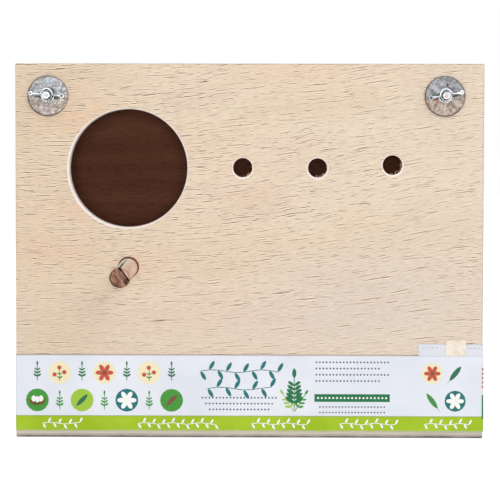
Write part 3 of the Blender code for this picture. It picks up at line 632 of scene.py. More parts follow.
def scuffed_washer(name, centre, warm_share, cool_drop, stains_and_shadows):
    """A washer's scratched plating: cool and grey above, a painted warm reflection below the bolt, and
    painted shadows.
    """
    recipe = Recipe(name, roughness=0.5, metallic=0.7)
    flat = recipe.flat_from(centre)
    # Painted reflection: warmer below the bolt, as if the plating mirrored the wood.
    below = recipe.step(recipe.split(flat)["Z"], 1.5 * MM, -2.5 * MM)
    tarnish = recipe.mottle((650, 650, 650), location=(warm_share, 0, 0), detail=4.0, rough=0.65)
    cool = recipe.tones(tarnish, *darker(COOL_PLATING, cool_drop))
    warm = recipe.tones(tarnish, *darker(WARM_REFLECTED_TONES, cool_drop / 2))
    colour = recipe.blend(below * warm_share, cool, warm)
    scratches = recipe.larger(recipe.mottle((160, 900, 2600), rotation=(0, 0.7, 0)),
                              recipe.mottle((160, 900, 2200), rotation=(0, -0.5, 0)))
    colour = recipe.tint(colour, recipe.step(scratches, 0.55, 0.68, 0.0, 0.5), (112, 108, 104))
    # Stained spots, and painted shadows under the wings and beside the arch.
    for (right, up), (half_along, half_up), rise, tone, share in stains_and_shadows:
        stain_and_shadow = recipe.spot(centre + Vector((right, 0, up)) * MM, half_along * MM, half_up * MM, rise)
        colour = recipe.tint(colour, stain_and_shadow * share, tone)
    # Painted shadow: the rim darkens, most at the lower left.
    rim = recipe.step(recipe.length(flat), 10.0 * MM, 10.7 * MM)
    rim_shadow_share = recipe.step(recipe.dot(flat, (-0.7, 0, -0.7)), -9.0 * MM, 9.0 * MM, 0.45, 0.95)
    colour = recipe.tint(colour, rim * rim_shadow_share, (74, 58, 46))
    rough = recipe.step(tarnish, 0.3, 0.7, 0.56, 0.42)
    return recipe.finish(colour, recipe.bump(scratches, 0.00006, 0.7), rough)


STEEL_ROUGHNESS = 0.4


def rolled_steel(name, tone):
    """Hinges, their screws and the brads."""
    recipe = Recipe(name, roughness=STEEL_ROUGHNESS, metallic=1.0)
    dull = [level * 0.72 for level in tone[:3]] + [1]
    colour = recipe.bands(recipe.mottle((500, 500, 500), detail=3.0), [(0.3, dull), (0.6, tone)])
    rolling = recipe.mottle((120, 2000, 2600))
    rough = recipe.step(rolling, 0.3, 0.7, STEEL_ROUGHNESS - 0.08, STEEL_ROUGHNESS + 0.12)
    return recipe.finish(colour, recipe.bump(rolling, 0.00004, 0.5), rough)


# The band's lime strip and the dark line on its top, as shares of the paper's height
LIME_TOP_SHARE = 0.2
LIME_LINE_SHARE = 0.012


def printed_paper():
    """White paper with a lavender cast and a lime strip along its foot, read from the band's own UV map."""
    recipe = Recipe("printed_paper", roughness=0.6, specular=0.1)
    height = recipe.split(recipe.sheet_map)["Y"]
    clouds = recipe.mottle((40, 40, 40))
    paper = recipe.tones(clouds, (0.35, (227, 231, 241)), (0.65, (235, 238, 247)))
    lime = recipe.tones(clouds, (0.35, (160, 192, 40)), (0.65, (171, 202, 52)))
    over_lime = recipe.step(height, LIME_TOP_SHARE - 0.004, LIME_TOP_SHARE + 0.004)
    colour = recipe.blend(over_lime, lime, paper)
    top_line = recipe.math("ABSOLUTE", height - LIME_TOP_SHARE)
    colour = recipe.tint(colour, recipe.step(top_line, 0.0, LIME_LINE_SHARE, 0.5, 0.0), (96, 132, 40))
    rag = recipe.mottle((900, 900, 900), detail=3.0)
    ragged_foot = height - rag * 0.05 + 0.02
    colour = recipe.tint(colour, recipe.step(ragged_foot, 0.0, 0.012, 0.8, 0.0), (196, 190, 170))
    place = recipe.split(recipe.place)
    above_band = recipe.step(place["Z"], BAND_TOP, BAND_TOP + 0.8 * MM, 0.0, 0.3)
    on_front = recipe.step(place["Y"], FRONT_FACE + 0.5 * MM, FRONT_FACE)
    colour = recipe.tint(colour, above_band * on_front, (214, 208, 214))
    colour = recipe.tint(colour, recipe.step(height, 0.985, 1.0, 0.0, 0.5), (176, 172, 176))
    return recipe.finish(colour, recipe.bump(recipe.mottle((1500, 1500, 1500)), 0.00002, 0.4))


def printing_ink(name, colour):
    """Ink on the paper, a little worn."""
    recipe = Recipe(name, roughness=0.55, specular=0.25)
    lighter = [level + (0.8 - level) * 0.05 for level in colour[:3]] + [1]
    return recipe.finish(recipe.bands(recipe.mottle((900, 900, 900)), [(0.5, colour), (0.8, lighter)]))


def masking_tape():
    """Cream crepe tape with crinkles across it, and painted shade in the crinkles' hollows."""
    recipe = Recipe("masking_tape", roughness=0.6, specular=0.35)
    blotch = recipe.mottle((350, 350, 350), detail=3.0)
    colour = recipe.tones(blotch, (0.35, (236, 220, 202)), (0.55, (246, 235, 222)), (0.7, (250, 242, 232)))
    crinkle = recipe.mottle((2600, 2600, 500), detail=3.0)
    # Painted shade: darker where the crinkles dip.
    colour = recipe.tint(colour, recipe.step(crinkle, 0.3, 0.5, 0.25, 0.0), (206, 182, 158))
    return recipe.finish(colour, recipe.bump(crinkle, 0.0001, 0.7))


# Ply boards' dark, middle and light tones
REDDISH = ((138, 84, 60), (148, 91, 65), (156, 98, 72))
BROWN = ((142, 100, 76), (160, 118, 92), (176, 135, 108))
GREYED = ((170, 148, 136), (192, 176, 166), (206, 194, 186))

FRONT_VENEER = pale_veneer()
BACK_PLY = brown_veneer("back_ply", "XZY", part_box("back_board")[0].y, REDDISH, pore_share=0.6)
SIDE_LEFT_PLY = brown_veneer("left_side_ply", "YZX", -HALF_WIDTH, BROWN)
SIDE_RIGHT_PLY = brown_veneer("right_side_ply", "YZX", HALF_WIDTH - PLY, BROWN)
LID_PLY = brown_veneer("lid_ply", "XYZ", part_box("lid")[0].z, BROWN)
FLOOR_PLY = brown_veneer("floor_ply", "XYZ", FLOOR_LOW.z, GREYED, GREYED_EDGE, shadowed_foot=FLOOR_LOW.z)
NEST_PINE = pine_wood()
PERCH_WOOD = dowel_wood("dowel_wood", ((78, 42, 32), (144, 102, 82), (186, 148, 128)))
SPLIT_WOOD = dowel_wood("split_dowel_wood", ((176, 132, 112), (204, 164, 144), (222, 188, 170)))
TORN_WOOD = raw_splinter()
GAP_GLUE_AND_SHADE = glue_and_gap_shade()
HINGE_STEEL = rolled_steel("hinge_steel", paint(176, 174, 168))
BRAD_STEEL = rolled_steel("brad_steel", paint(170, 167, 160))
PAPER = printed_paper()
TAPE = masking_tape()


# Small helpers for modelling


def start_fresh():
    """Leaves edit mode and deselects everything, so that an operator acts on the new piece alone."""
    if bpy.context.object is not None and bpy.context.object.mode != "OBJECT":
        bpy.ops.object.mode_set(mode="OBJECT")
    bpy.ops.object.select_all(action="DESELECT")


def new_piece(add_shape, **settings):
    """A new piece from one of Blender's own shapes."""
    start_fresh()
    add_shape(**settings)
    return bpy.context.active_object


def make_active(piece):
    start_fresh()
    piece.select_set(True)
    bpy.context.view_layer.objects.active = piece


def edit_all(piece):
    """Opens a piece for editing, with all of its mesh selected."""
    make_active(piece)
    bpy.ops.object.mode_set(mode="EDIT")
    bpy.ops.mesh.select_all(action="SELECT")


def close_edit():
    """Turns the edited piece's faces outwards and leaves edit mode."""
    bpy.ops.mesh.select_all(action="SELECT")
    bpy.ops.mesh.normals_make_consistent(inside=False)
    bpy.ops.object.mode_set(mode="OBJECT")


def cover(piece, material):
    """Gives a piece one material, in place of all it had."""
    piece.data.materials.clear()
    piece.data.materials.append(material)


def settle(piece, name, material, body, slot, *nodes):
    """Bakes a piece's place into its mesh, and gives it its name, material, body and CAD nodes; slot is not
    used.
    """
    make_active(piece)
    bpy.ops.object.transform_apply(location=True, rotation=True, scale=True)
    piece.name = piece.data.name = name
    cover(piece, material)
    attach(piece, body)
    if nodes:
        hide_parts(*nodes)


def apply_all(piece):
    make_active(piece)
    for modifier in list(piece.modifiers):
        bpy.ops.object.modifier_apply(modifier=modifier.name)


def thicken(sheet, thickness):
    """Gives a sheet its thickness, half of it to each side."""
    shell = sheet.modifiers.new("thickness", "SOLIDIFY")
    shell.thickness = thickness
    shell.offset = 0


def turned(profile, sides, closed=False):
    """A turned piece about Z: a ring of points, extruded and resized through its (radius, height) profile."""
    radius, height = profile[0]
    piece = new_piece(bpy.ops.mesh.primitive_circle_add, vertices=sides, radius=radius,
                      fill_type="NOTHING" if closed else "NGON", location=(0, 0, height))
    edit_all(piece)
    for next_radius, next_height in profile[1:] + ([profile[0]] if closed else []):
        bpy.ops.mesh.extrude_region_move(TRANSFORM_OT_translate={"value": (0, 0, next_height - height)})
        share = next_radius / radius
        bpy.ops.transform.resize(value=(share, share, 1), center_override=(0, 0, next_height))
        radius, height = next_radius, next_height
    bpy.ops.mesh.select_all(action="SELECT")
    bpy.ops.mesh.remove_doubles(threshold=SAME_POINT)
    close_edit()
    bpy.ops.object.transform_apply(location=True, rotation=True, scale=True)
    return piece


def face_middle(low, high):
    """The middle of a box that is seen from the front, as a point of the front board's face."""
    return Vector(((low.x + high.x) / 2, FRONT_FACE, (low.z + high.z) / 2))


def point_out_of_box(piece, middle, foot, turn=0.0):
    """Stands a piece made about Z on the front board: its Z axis points to -Y, and its foot is at foot."""
    there = Matrix.Translation((middle.x, foot, middle.z))
    piece.data.transform(there @ Matrix.Rotation(-turn, 4, "Y") @ Matrix.Rotation(math.pi / 2, 4, "X"))
    piece.data.update()


def smooth(piece, angle):
    """Smooth shading below an angle in degrees, with flat faces kept flat right up to their edges."""
    make_active(piece)
    bpy.ops.object.shade_smooth_by_angle(angle=math.radians(angle))
    even = piece.modifiers.new("flat_faces", "WEIGHTED_NORMAL")
    even.keep_sharp = True
    apply_all(piece)


def smooth_copy(node, material, body, slot, angle):
    """A copy of a CAD node with its triangles merged and its round faces smooth."""
    piece = bpy.data.objects.new(node + "_finished", NODES[node].data.copy())
    bpy.context.scene.collection.objects.link(piece)
    edit_all(piece)
    bpy.ops.mesh.remove_doubles(threshold=SAME_POINT)
    bpy.ops.mesh.tris_convert_to_quads(face_threshold=math.radians(1), shape_threshold=math.radians(60))
    bpy.ops.object.mode_set(mode="OBJECT")
    settle(piece, node + "_finished", material, body, slot, node)
    smooth(piece, angle)


def join_pieces(pieces):
    make_active(pieces[0])
    for piece in pieces[1:]:
        piece.select_set(True)
    bpy.ops.object.join()
    return bpy.context.active_object


def finish_boards():
    """Boards whose CAD shape is right take their wood, and those with round cuts get a smooth copy."""
    cover(NODES["back_board"], BACK_PLY)
    cover(NODES["left_side_board"], SIDE_LEFT_PLY)
    cover(NODES["floor_board"], FLOOR_PLY)
    cover(NODES["lid"], LID_PLY)
    smooth_copy("front_board", FRONT_VENEER, "box", "pale_ply", 35)
    smooth_copy("right_side_board", SIDE_RIGHT_PLY, "box", "brown_ply", 35)
    smooth_copy("nest_board", NEST_PINE, "box", "pine", 12)


# Wood filler over the front brads, flush with the veneer and a little wider than the brads' heads
PLUG_DEPTH = 0.25 * MM
PLUG_EDGE = 0.05 * MM
PLUG_MARGIN = 0.14 * MM


def make_plugs():
    for side in ("left", "right"):
        for number in (1, 2, 3):
            low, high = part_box(f"front_brad_{side}_{number}")
            radius = (high.x - low.x) / 2 + PLUG_MARGIN
            profile = [(radius, 0), (radius, PLUG_DEPTH - PLUG_EDGE), (radius - PLUG_EDGE, PLUG_DEPTH)]
            plug = turned(profile, 24)
            point_out_of_box(plug, face_middle(low, high), FRONT_FACE + PLUG_DEPTH)
            settle(plug, f"filler_plug_{side}_{number}", FRONT_VENEER, "box", "pale_ply")


# The split in the perch: how wide it gapes at the end, and how far the split-off strip is chipped back
CRACK_WIDTH = 1.1 * MM
STRIP_SETBACK = 0.9 * MM
STRIP_SLANT = math.radians(20)

# The dowel is a little swollen, and flares over its last few millimetres
SWELL = 0.2 * MM
END_FLARE = 0.4 * MM
FLARE_LENGTH = 6 * MM
DOWEL_EDGE = 0.3 * MM
DOWEL_STEPS = 26


def dowel_profile():
    """The dowel's (radius, height) rings, from the end inside the box to the sawn end outside it."""
    length = PERCH_REACH + PERCH_TAIL
    run = length - 2 * DOWEL_EDGE
    rings = [(PERCH_RADIUS, DOWEL_EDGE + run * step / DOWEL_STEPS) for step in range(DOWEL_STEPS + 1)]
    rings = [(PERCH_RADIUS - DOWEL_EDGE, 0.0), *rings, (PERCH_RADIUS - DOWEL_EDGE, length)]
    return [(radius + SWELL + END_FLARE * max(0.0, 1 - (length - height) / FLARE_LENGTH), height)
            for radius, height in rings]


def rough_dowel():
    """A dowel out of the box along -Y through the perch's middle, before it droops, with a rough sawn end."""
    piece = turned(dowel_profile(), 48)
    point_out_of_box(piece, PERCH_PIVOT, FRONT_FACE + PERCH_TAIL)
    for vertex in piece.data.vertices:
        offset = vertex.co - Vector((PERCH_PIVOT.x, vertex.co.y, PERCH_PIVOT.z))
        rough = noise.noise(Vector((vertex.co.x * 900, vertex.co.y * 90, vertex.co.z * 900)))
        vertex.co -= offset.normalized() * max(0.0, rough) * 0.09 * MM
        if vertex.co.y < FRONT_FACE - PERCH_REACH + 0.5 * MM:
            vertex.co.y += abs(noise.noise(vertex.co * 1300)) * 0.25 * MM
    return piece


def cut_off(place, direction, inner=False, outer=False):
    """Cuts the edited piece along a plane, closes the cut, and takes away what lies on one side."""
    bpy.ops.mesh.select_all(action="SELECT")
    bpy.ops.mesh.bisect(plane_co=place, plane_no=direction, use_fill=True,
                        clear_inner=inner, clear_outer=outer)


def make_perch():
    """The dowel, split along a chord near its upper right side, with the split-off strip chipped."""
    across = Vector((math.cos(CHORD_ANGLE), 0, math.sin(CHORD_ANGLE)))
    root = PERCH_PIVOT + across * CHORD_SHARE * PERCH_RADIUS
    opening = Vector((0, CRACK_WIDTH / 2 / PERCH_REACH, 0))
    chip = Vector((root.x, FRONT_FACE - PERCH_REACH + STRIP_SETBACK, root.z))
    slant = across * math.sin(STRIP_SLANT) + Vector((0, -math.cos(STRIP_SLANT), 0))
    droop = Matrix.Translation(PERCH_PIVOT) @ Matrix.Rotation(PERCH_DROOP, 4, "X")
    for name, wood, replaced in (("dowel", PERCH_WOOD, ["perch_dowel"]), ("split_strip", SPLIT_WOOD, [])):
        is_strip = name == "split_strip"
        piece = rough_dowel()
        edit_all(piece)
        cut_off(root, across + (opening if is_strip else -opening), inner=is_strip, outer=not is_strip)
        if is_strip:
            cut_off(chip, slant, outer=True)
        close_edit()
        piece.data.transform(droop @ Matrix.Translation(-PERCH_PIVOT))
        settle(piece, "perch_" + name, wood, "box", "dowel_wood", *replaced)
        smooth(piece, 30)


def make_gap_glue_and_shade():
    """A dark brown ring of glue in the gap between the perch and its hole, coloured as the shade in the gap.
    """
    middle, radius = PERCH_HOLE
    outer, inner, width = radius - 0.02 * MM, PERCH_RADIUS - 0.3 * MM, 0.8 * MM
    ring = turned([(inner, 0), (outer, 0), (outer, width), (inner, width)], 48, closed=True)
    point_out_of_box(ring, middle, FRONT_FACE + 1.1 * MM)
    settle(ring, "perch_gap_glue_and_shade", GAP_GLUE_AND_SHADE, "box", "dowel_wood")


# The hanging bolts: metric thread M4 from just past the dome head, faded out at the end
BOLT_RADIUS = 2.0 * MM
HEAD_HEIGHT = 2.2 * MM
THREAD_START = HEAD_HEIGHT + 0.2 * MM
THREAD_PITCH = 0.7 * MM
THREAD_DEPTH = 0.42 * MM
RINGS_PER_TURN = 6
END_TAPER = 0.22 * MM


def bolt_axis(side):
    """Where a hanging bolt's axis meets the front board's face."""
    low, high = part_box(f"{side}_hanging_bolt")
    return face_middle(low, high)


def bolt_profile(head_radius, length):
    """The dome from its middle out, and the shank with a few rings for each turn of the thread."""
    angles = [math.radians(84 - 14 * step) for step in range(7)]
    dome = [(head_radius * math.cos(angle), HEAD_HEIGHT * (1 - math.sin(angle))) for angle in angles]
    run = length - THREAD_START
    count = int(run / THREAD_PITCH * RINGS_PER_TURN)
    shank = [(BOLT_RADIUS, THREAD_START + run * step / count) for step in range(1, count + 1)]
    return [*dome, (head_radius - 0.1 * MM, HEAD_HEIGHT), (BOLT_RADIUS, HEAD_HEIGHT), *shank]


def press_thread(piece, length):
    """Presses the thread's groove into the shank."""
    for vertex in piece.data.vertices:
        height = vertex.co.z
        if height < THREAD_START or vertex.co.xy.length < 0.5 * BOLT_RADIUS:
            continue
        turn = math.atan2(vertex.co.y, vertex.co.x) / (2 * math.pi)
        phase = (height / THREAD_PITCH - turn) % 1.0
        groove = THREAD_DEPTH * min(1.0, abs(2 * phase - 1) * 1.25)
        near_end = min(1.0, (length - height) / THREAD_PITCH)
        groove = groove * near_end + END_TAPER * (1 - near_end)
        vertex.co.xy *= (BOLT_RADIUS - groove) / BOLT_RADIUS


def make_bolt(side, material):
    """A hanging bolt: a slotted dome head inside, and a threaded end through the wing nut."""
    node = f"{side}_hanging_bolt"
    low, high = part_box(node)
    axis = bolt_axis(side)
    head_radius, length = (high.x - low.x) / 2, high.y - low.y
    piece = turned(bolt_profile(head_radius, length), 32)
    press_thread(piece, length)
    point_out_of_box(piece, axis, high.y)
    cutter = new_piece(bpy.ops.mesh.primitive_cube_add, size=1, location=(axis.x, high.y, axis.z))
    cutter.scale = (2.4 * head_radius, 2.2 * MM, 1.1 * MM)
    cut = piece.modifiers.new("slot", "BOOLEAN")
    cut.object = cutter
    apply_all(piece)
    bpy.data.objects.remove(cutter)
    settle(piece, f"{side}_threaded_bolt", material, "box", "zinc", node)
    smooth(piece, 40)


# The washers' bore and rolled edge
WASHER_BORE = 2.3 * MM
WASHER_EDGE = 0.3 * MM


def washer_profile(radius, thickness):
    """The bore, the dished face out to the rolled edge, and the back."""
    rim = thickness - 0.14 * MM
    near_rim = radius - 0.3 * WASHER_EDGE
    near_bore = WASHER_BORE + 0.2 * MM
    return [(WASHER_BORE, 0.15 * MM), (WASHER_BORE, thickness - 0.15 * MM), (near_bore, thickness),
            (radius * 0.6, thickness - 0.03 * MM), (radius * 0.85, thickness - 0.08 * MM),
            (radius - WASHER_EDGE, rim), (near_rim, rim - 0.3 * WASHER_EDGE), (radius, rim - WASHER_EDGE),
            (radius, WASHER_EDGE), (near_rim, 0.3 * WASHER_EDGE), (radius - WASHER_EDGE, 0), (near_bore, 0)]


def make_washer(side, warm_share, cool_drop, stains_and_shadows):
    """A wide washer, slightly dished, with a rolled edge."""
    node = f"{side}_wide_washer"
    low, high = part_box(node)
    middle = face_middle(low, high)
    piece = turned(washer_profile((high.x - low.x) / 2, high.y - low.y), 96, closed=True)
    point_out_of_box(piece, middle, high.y)
    plating = scuffed_washer(f"{side}_washer_plating", middle, warm_share, cool_drop, stains_and_shadows)
    settle(piece, f"{side}_scuffed_washer", plating, f"{side}_washer", "washer_steel", node)
    smooth(piece, 40)


# A wing nut's hub: its (radius, height) profile in millimetres
HUB_PROFILE = (
    (1.98, 0.3), (1.98, 4.1), (2.36, 4.55), (2.42, 4.6), (2.92, 4.6), (3.0, 4.48), (3.0, 1.7), (3.24, 1.15),
    (3.3, 1.1), (3.6, 1.1), (3.68, 1.0), (3.68, 0.25), (3.5, 0), (2.28, 0),
)

# The nut's pressed strip, from tip to tip: it arches over the hub for ARCH_SHARE of each half, and then runs
# out straight and a little lifted as a wing, thicker from FLARE_START on
ARCH_HALF_WIDTH = 3.15 * MM
ARCH_HEIGHT = 3.7 * MM
ARCH_SHARE = 0.45
ARCH_SWEEP = math.radians(82)
WING_LIFT = 0.35 * MM
WING_HALF_SPAN = 8.45 * MM
FLARE_START = 5.6 * MM
STRIP_THICKNESS = 0.68 * MM
STRIP_END_SHARE = 0.9


def strip_place(share):
    """A point on the strip's middle line, seen along the bolt, for a share from -1 to 1."""
    if abs(share) < ARCH_SHARE:
        angle = math.pi / 2 - share / ARCH_SHARE * ARCH_SWEEP
        return ARCH_HALF_WIDTH * math.cos(angle), ARCH_HEIGHT * math.sin(angle)
    end_x = ARCH_HALF_WIDTH * math.sin(ARCH_SWEEP)
    end_y = ARCH_HEIGHT * math.cos(ARCH_SWEEP)
    run = (abs(share) - ARCH_SHARE) / (1 - ARCH_SHARE)
    bend = min(1.0, run / 0.2)
    return math.copysign(end_x + (WING_HALF_SPAN - end_x) * run, share), end_y + (WING_LIFT - end_y) * bend


def strip_heights(share, top):
    """How low and how high the strip reaches above the washer: low at the hub, and tall wings."""
    run = max(0.0, (abs(share) - ARCH_SHARE) / (1 - ARCH_SHARE))
    rise = run * run * (3 - 2 * run)
    low = 0.3 * MM + rise * 0.40 * top
    high = (0.86 + 0.14 * math.sin(min(1.0, run * 1.15) * math.pi / 2)) * top
    return low, high


def bead_middle(side, turn, direction):
    """Where the bead at a wing's tip stands: direction is -1 at the left and 1 at the right."""
    across, over = strip_place(direction)
    return bolt_axis(side) + Matrix.Rotation(-turn, 3, "Y") @ Vector((across, 0, over))


def wing_bead(direction, height, opening):
    """The rolled bead at a wing's tip, open in its middle."""
    across, over = strip_place(direction)
    foot, top = strip_heights(direction, height)
    bead = turned([
        (0.5 * MM, foot + 0.7 * MM), (1.0 * MM, foot + 0.85 * MM), (1.25 * MM, foot + 1.2 * MM),
        (1.25 * MM, top - 0.25 * MM), (1.2 * MM, top - 0.06 * MM), (1.08 * MM, top),
        (opening, top), (opening - 0.1 * MM, top - 0.25 * MM), (opening - 0.15 * MM, top - 1.6 * MM)], 24)
    bead.data.transform(Matrix.Translation((across, over, 0)))
    return bead


def pressed_strip(height):
    """The thin strip that makes both wings, with eased edges, and thicker towards its tips."""
    strip = new_piece(bpy.ops.mesh.primitive_grid_add, x_subdivisions=60, y_subdivisions=8, size=2)
    for vertex in strip.data.vertices:
        share, up = vertex.co.x * STRIP_END_SHARE, (vertex.co.y + 1) / 2
        foot, top = strip_heights(share, height - 0.2 * MM)
        vertex.co = Vector((*strip_place(share), foot + (top - foot) * up))
    thicken(strip, STRIP_THICKNESS)
    ease = strip.modifiers.new("eased_edges", "BEVEL")
    ease.width = 0.2 * MM
    ease.segments = 3
    ease.limit_method = "ANGLE"
    ease.angle_limit = math.radians(50)
    apply_all(strip)
    for vertex in strip.data.vertices:
        flare = max(0.0, abs(vertex.co.x) - FLARE_START) / (WING_HALF_SPAN - FLARE_START)
        vertex.co.y = WING_LIFT + (vertex.co.y - WING_LIFT) * (1 + 0.7 * flare)
    return strip


def make_wing_nut(side, turn, openings, material):
    """A wing nut: its threaded hub, the strip pressed over it, and a round bead at each wing's tip."""
    node = f"{side}_wing_nut"
    low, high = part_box(node)
    height = high.y - low.y
    hub = turned([(radius * MM, level * MM) for radius, level in HUB_PROFILE], 48, closed=True)
    parts = [hub, pressed_strip(height)]
    parts += [wing_bead(direction, height, opening) for direction, opening in zip((-1, 1), openings)]
    piece = join_pieces(parts)
    point_out_of_box(piece, bolt_axis(side), high.y, turn)
    settle(piece, f"{side}_pressed_wing_nut", material, f"{side}_nut", "zinc", node)
    smooth(piece, 40)


def make_hardware(side, turn, warm_share, cool_drop, stains_and_shadows, core, openings):
    """One hanging bolt, its wide washer and its wing nut; openings are the radii of the beads' holes."""
    bead_holes = [(bead_middle(side, turn, direction), opening)
                  for direction, opening in zip((-1, 1), openings)]
    zinc = zinc_with_painted_light(f"{side}_bright_zinc", bolt_axis(side), core, bead_holes)
    make_bolt(side, zinc)
    make_washer(side, warm_share, cool_drop, stains_and_shadows)
    make_wing_nut(side, turn, openings, zinc)


def finish_hinges():
    """The hinges' leaves, screws and pins as smooth copies, and the brads in their steel."""
    for side in ("left", "right"):
        for leaf, body in (("fixed", "box"), ("lid", "opening_lid")):
            smooth_copy(f"{side}_hinge_{leaf}_leaf", HINGE_STEEL, body, "hinge_steel", 32)
            for number in (1, 2):
                smooth_copy(f"{side}_hinge_{leaf}_leaf_screw_{number}", HINGE_STEEL, body, "hinge_steel", 40)
        smooth_copy(f"{side}_hinge_pin", HINGE_STEEL, "box", "hinge_steel", 40)
    for name, node in NODES.items():
        if "_brad_" in name:
            cover(node, BRAD_STEEL)


def torn_sliver(draw, centre, radius):
    """One torn fibre on the lower right of a vent's rim, pointing inwards."""
    angle = math.radians(draw.uniform(-100, 15))
    length = draw.uniform(0.8, 2.2) * MM
    width = draw.uniform(0.10, 0.30) * MM
    sliver = new_piece(bpy.ops.mesh.primitive_cone_add, vertices=4, radius1=width, radius2=width * 0.2,
                       depth=length)
    inwards = math.radians(180 + draw.uniform(-35, 35)) + angle
    reach = radius + 0.1 * MM - length * 0.35
    middle = centre + Vector((math.cos(angle), 0, math.sin(angle))) * reach
    middle.y = FRONT_FACE + draw.uniform(0.2, 1.2) * MM
    sliver.data.transform(Matrix.Translation(middle) @ Matrix.Rotation(math.pi / 2 - inwards, 4, "Y"))
    return sliver


def make_splinters():
    """Torn fibres in the vents, and more of them in the last."""
    draw = random.Random(12)
    for number, (centre, radius) in enumerate(VENT_HOLES, start=1):
        piece = join_pieces([torn_sliver(draw, centre, radius) for _ in range(9 if number < 3 else 14)])
        settle(piece, f"vent_{number}_torn_fibres", TORN_WOOD, "box", "pale_ply")


# Stains and painted shadows on the washers: middle from the bolt and half sizes in millimetres, rise to the
# right, tone, share
# The darkest marks, under the wings and along the arch, are painted shadows.
LEFT_STAINS_AND_SHADOWS = (
    ((2.7, 3.0), (2.0, 0.55), -0.8, (40, 62, 64), 0.85),
    ((4.3, 5.2), (1.3, 0.35), -0.2, (84, 80, 74), 0.5),
    ((4.1, -1.1), (2.2, 0.8), -0.1, (44, 44, 30), 0.85),
    ((-4.7, -0.45), (2.7, 0.55), -0.08, (38, 48, 42), 0.85),
    ((-0.4, 8.4), (2.4, 1.2), 0.0, (150, 170, 160), 0.35),
    ((2.8, 8.0), (2.4, 1.6), -0.4, (166, 162, 178), 0.4),
    ((-3.6, -3.4), (1.4, 0.5), -0.9, (110, 92, 78), 0.5),
    ((7.4, -6.0), (1.6, 0.6), 0.8, (120, 100, 86), 0.5),
)
RIGHT_STAINS_AND_SHADOWS = (
    ((1.1, 5.8), (0.5, 0.5), 0.0, (16, 14, 22), 1.0),
    ((3.2, 3.9), (2.2, 0.7), -0.65, (62, 62, 86), 0.75),
    ((-5.0, 0.4), (2.6, 0.45), 0.15, (52, 66, 72), 0.7),
    ((-4.6, -1.6), (2.2, 0.5), 0.3, (48, 34, 30), 0.85),
    ((4.8, 0.1), (2.6, 0.5), 0.15, (30, 30, 30), 0.85),
    ((3.8, -5.0), (2.7, 0.7), -0.64, (120, 100, 92), 0.6),
    ((6.2, -3.4), (2.8, 1.5), -0.64, (176, 163, 156), 0.45),
    ((-4.4, -2.6), (2.6, 0.8), -0.5, (150, 104, 84), 0.55),
    ((4.6, 3.3), (2.4, 0.8), -0.45, (98, 96, 110), 0.5),
    ((-5.2, 4.2), (3.0, 1.3), -0.7, (166, 166, 176), 0.5),
    ((2.6, 7.6), (4.2, 1.2), -0.5, (112, 118, 112), 0.4),
    ((-7.0, 1.6), (2.2, 0.6), -0.3, (90, 96, 96), 0.5),
)

finish_boards()
make_plugs()
make_perch()
make_gap_glue_and_shade()
make_hardware("left", turn=math.radians(-4.6), warm_share=0.75, cool_drop=-8, stains_and_shadows=LEFT_STAINS_AND_SHADOWS,
              core=(175, 177, 180), openings=(0.5 * MM, 0.7 * MM))
make_hardware("right", turn=math.radians(10.2), warm_share=1.0, cool_drop=16, stains_and_shadows=RIGHT_STAINS_AND_SHADOWS,
              core=(178, 160, 156), openings=(0.92 * MM, 0.42 * MM))
finish_hinges()
make_splinters()


# The paper band: its sheet follows the box's walls, starting with the tail under its own lapped end. The tail
# starts at TAIL_X, too high by TAIL_RISE. The paper's middle is INNER_OFF from the walls, and steps out to
# OUTER_OFF where it passes over the tail; it ends LAP_LENGTH past the front right corner.
PAPER_THICKNESS = 0.14 * MM
TAIL_X = 0.092
TAIL_RISE = 6.6 * MM
INNER_OFF = 0.17 * MM
OUTER_OFF = 0.45 * MM
STEP_RUN = 6 * MM
STEP_END = TAIL_X - 0.3 * MM
LAP_LENGTH = 62 * MM
CORNER_ROUND = 0.6 * MM
CORNER_STEPS = 5
PATH_STEP = 3.5 * MM


def straight(start, end):
    """Even points from the start on, without the end."""
    count = max(1, round((end - start).length / PATH_STEP))
    return [start.lerp(end, step / count) for step in range(count)]


def corner(x_side, y_side, start_angle, off):
    """Points round one corner of the box, a quarter turn to the left."""
    centre = Vector((x_side * (HALF_WIDTH - CORNER_ROUND), y_side * (HALF_DEPTH - CORNER_ROUND)))
    angles = [start_angle + math.pi / 2 * step / CORNER_STEPS for step in range(CORNER_STEPS + 1)]
    return [centre + (CORNER_ROUND + off) * Vector((math.cos(a), math.sin(a))) for a in angles]


def band_path():
    """The band's line seen from above, and the lengths of its corners and of its front's left end."""
    corners = [corner(1, -1, -math.pi / 2, INNER_OFF), corner(1, 1, 0, INNER_OFF)]
    corners += [corner(-1, 1, math.pi / 2, INNER_OFF), corner(-1, -1, math.pi, INNER_OFF)]
    points, last = [], Vector((TAIL_X, FRONT_FACE - INNER_OFF))
    corner_starts = []
    for turn_points in corners:
        points += straight(last, turn_points[0])
        corner_starts.append(len(points))
        points += turn_points[:-1]
        last = turn_points[-1]
    front_start = len(points)
    step_start = Vector((STEP_END - STEP_RUN, FRONT_FACE - INNER_OFF))
    step_end = Vector((STEP_END, FRONT_FACE - OUTER_OFF))
    lap_corner = corner(1, -1, -math.pi / 2, OUTER_OFF)
    lap_end = Vector((HALF_WIDTH + OUTER_OFF, FRONT_FACE + LAP_LENGTH))
    points += straight(last, step_start) + straight(step_start, step_end) + straight(step_end, lap_corner[0])
    points += lap_corner[:-1] + straight(lap_corner[-1], lap_end) + [lap_end]
    lengths = [0.0]
    for before, after in zip(points, points[1:]):
        lengths.append(lengths[-1] + (after - before).length)
    return points, lengths, [lengths[start] for start in corner_starts], lengths[front_start]


BAND_POINTS, BAND_LENGTHS, CORNER_LENGTHS, FRONT_LENGTH = band_path()
BAND_TOTAL = BAND_LENGTHS[-1]


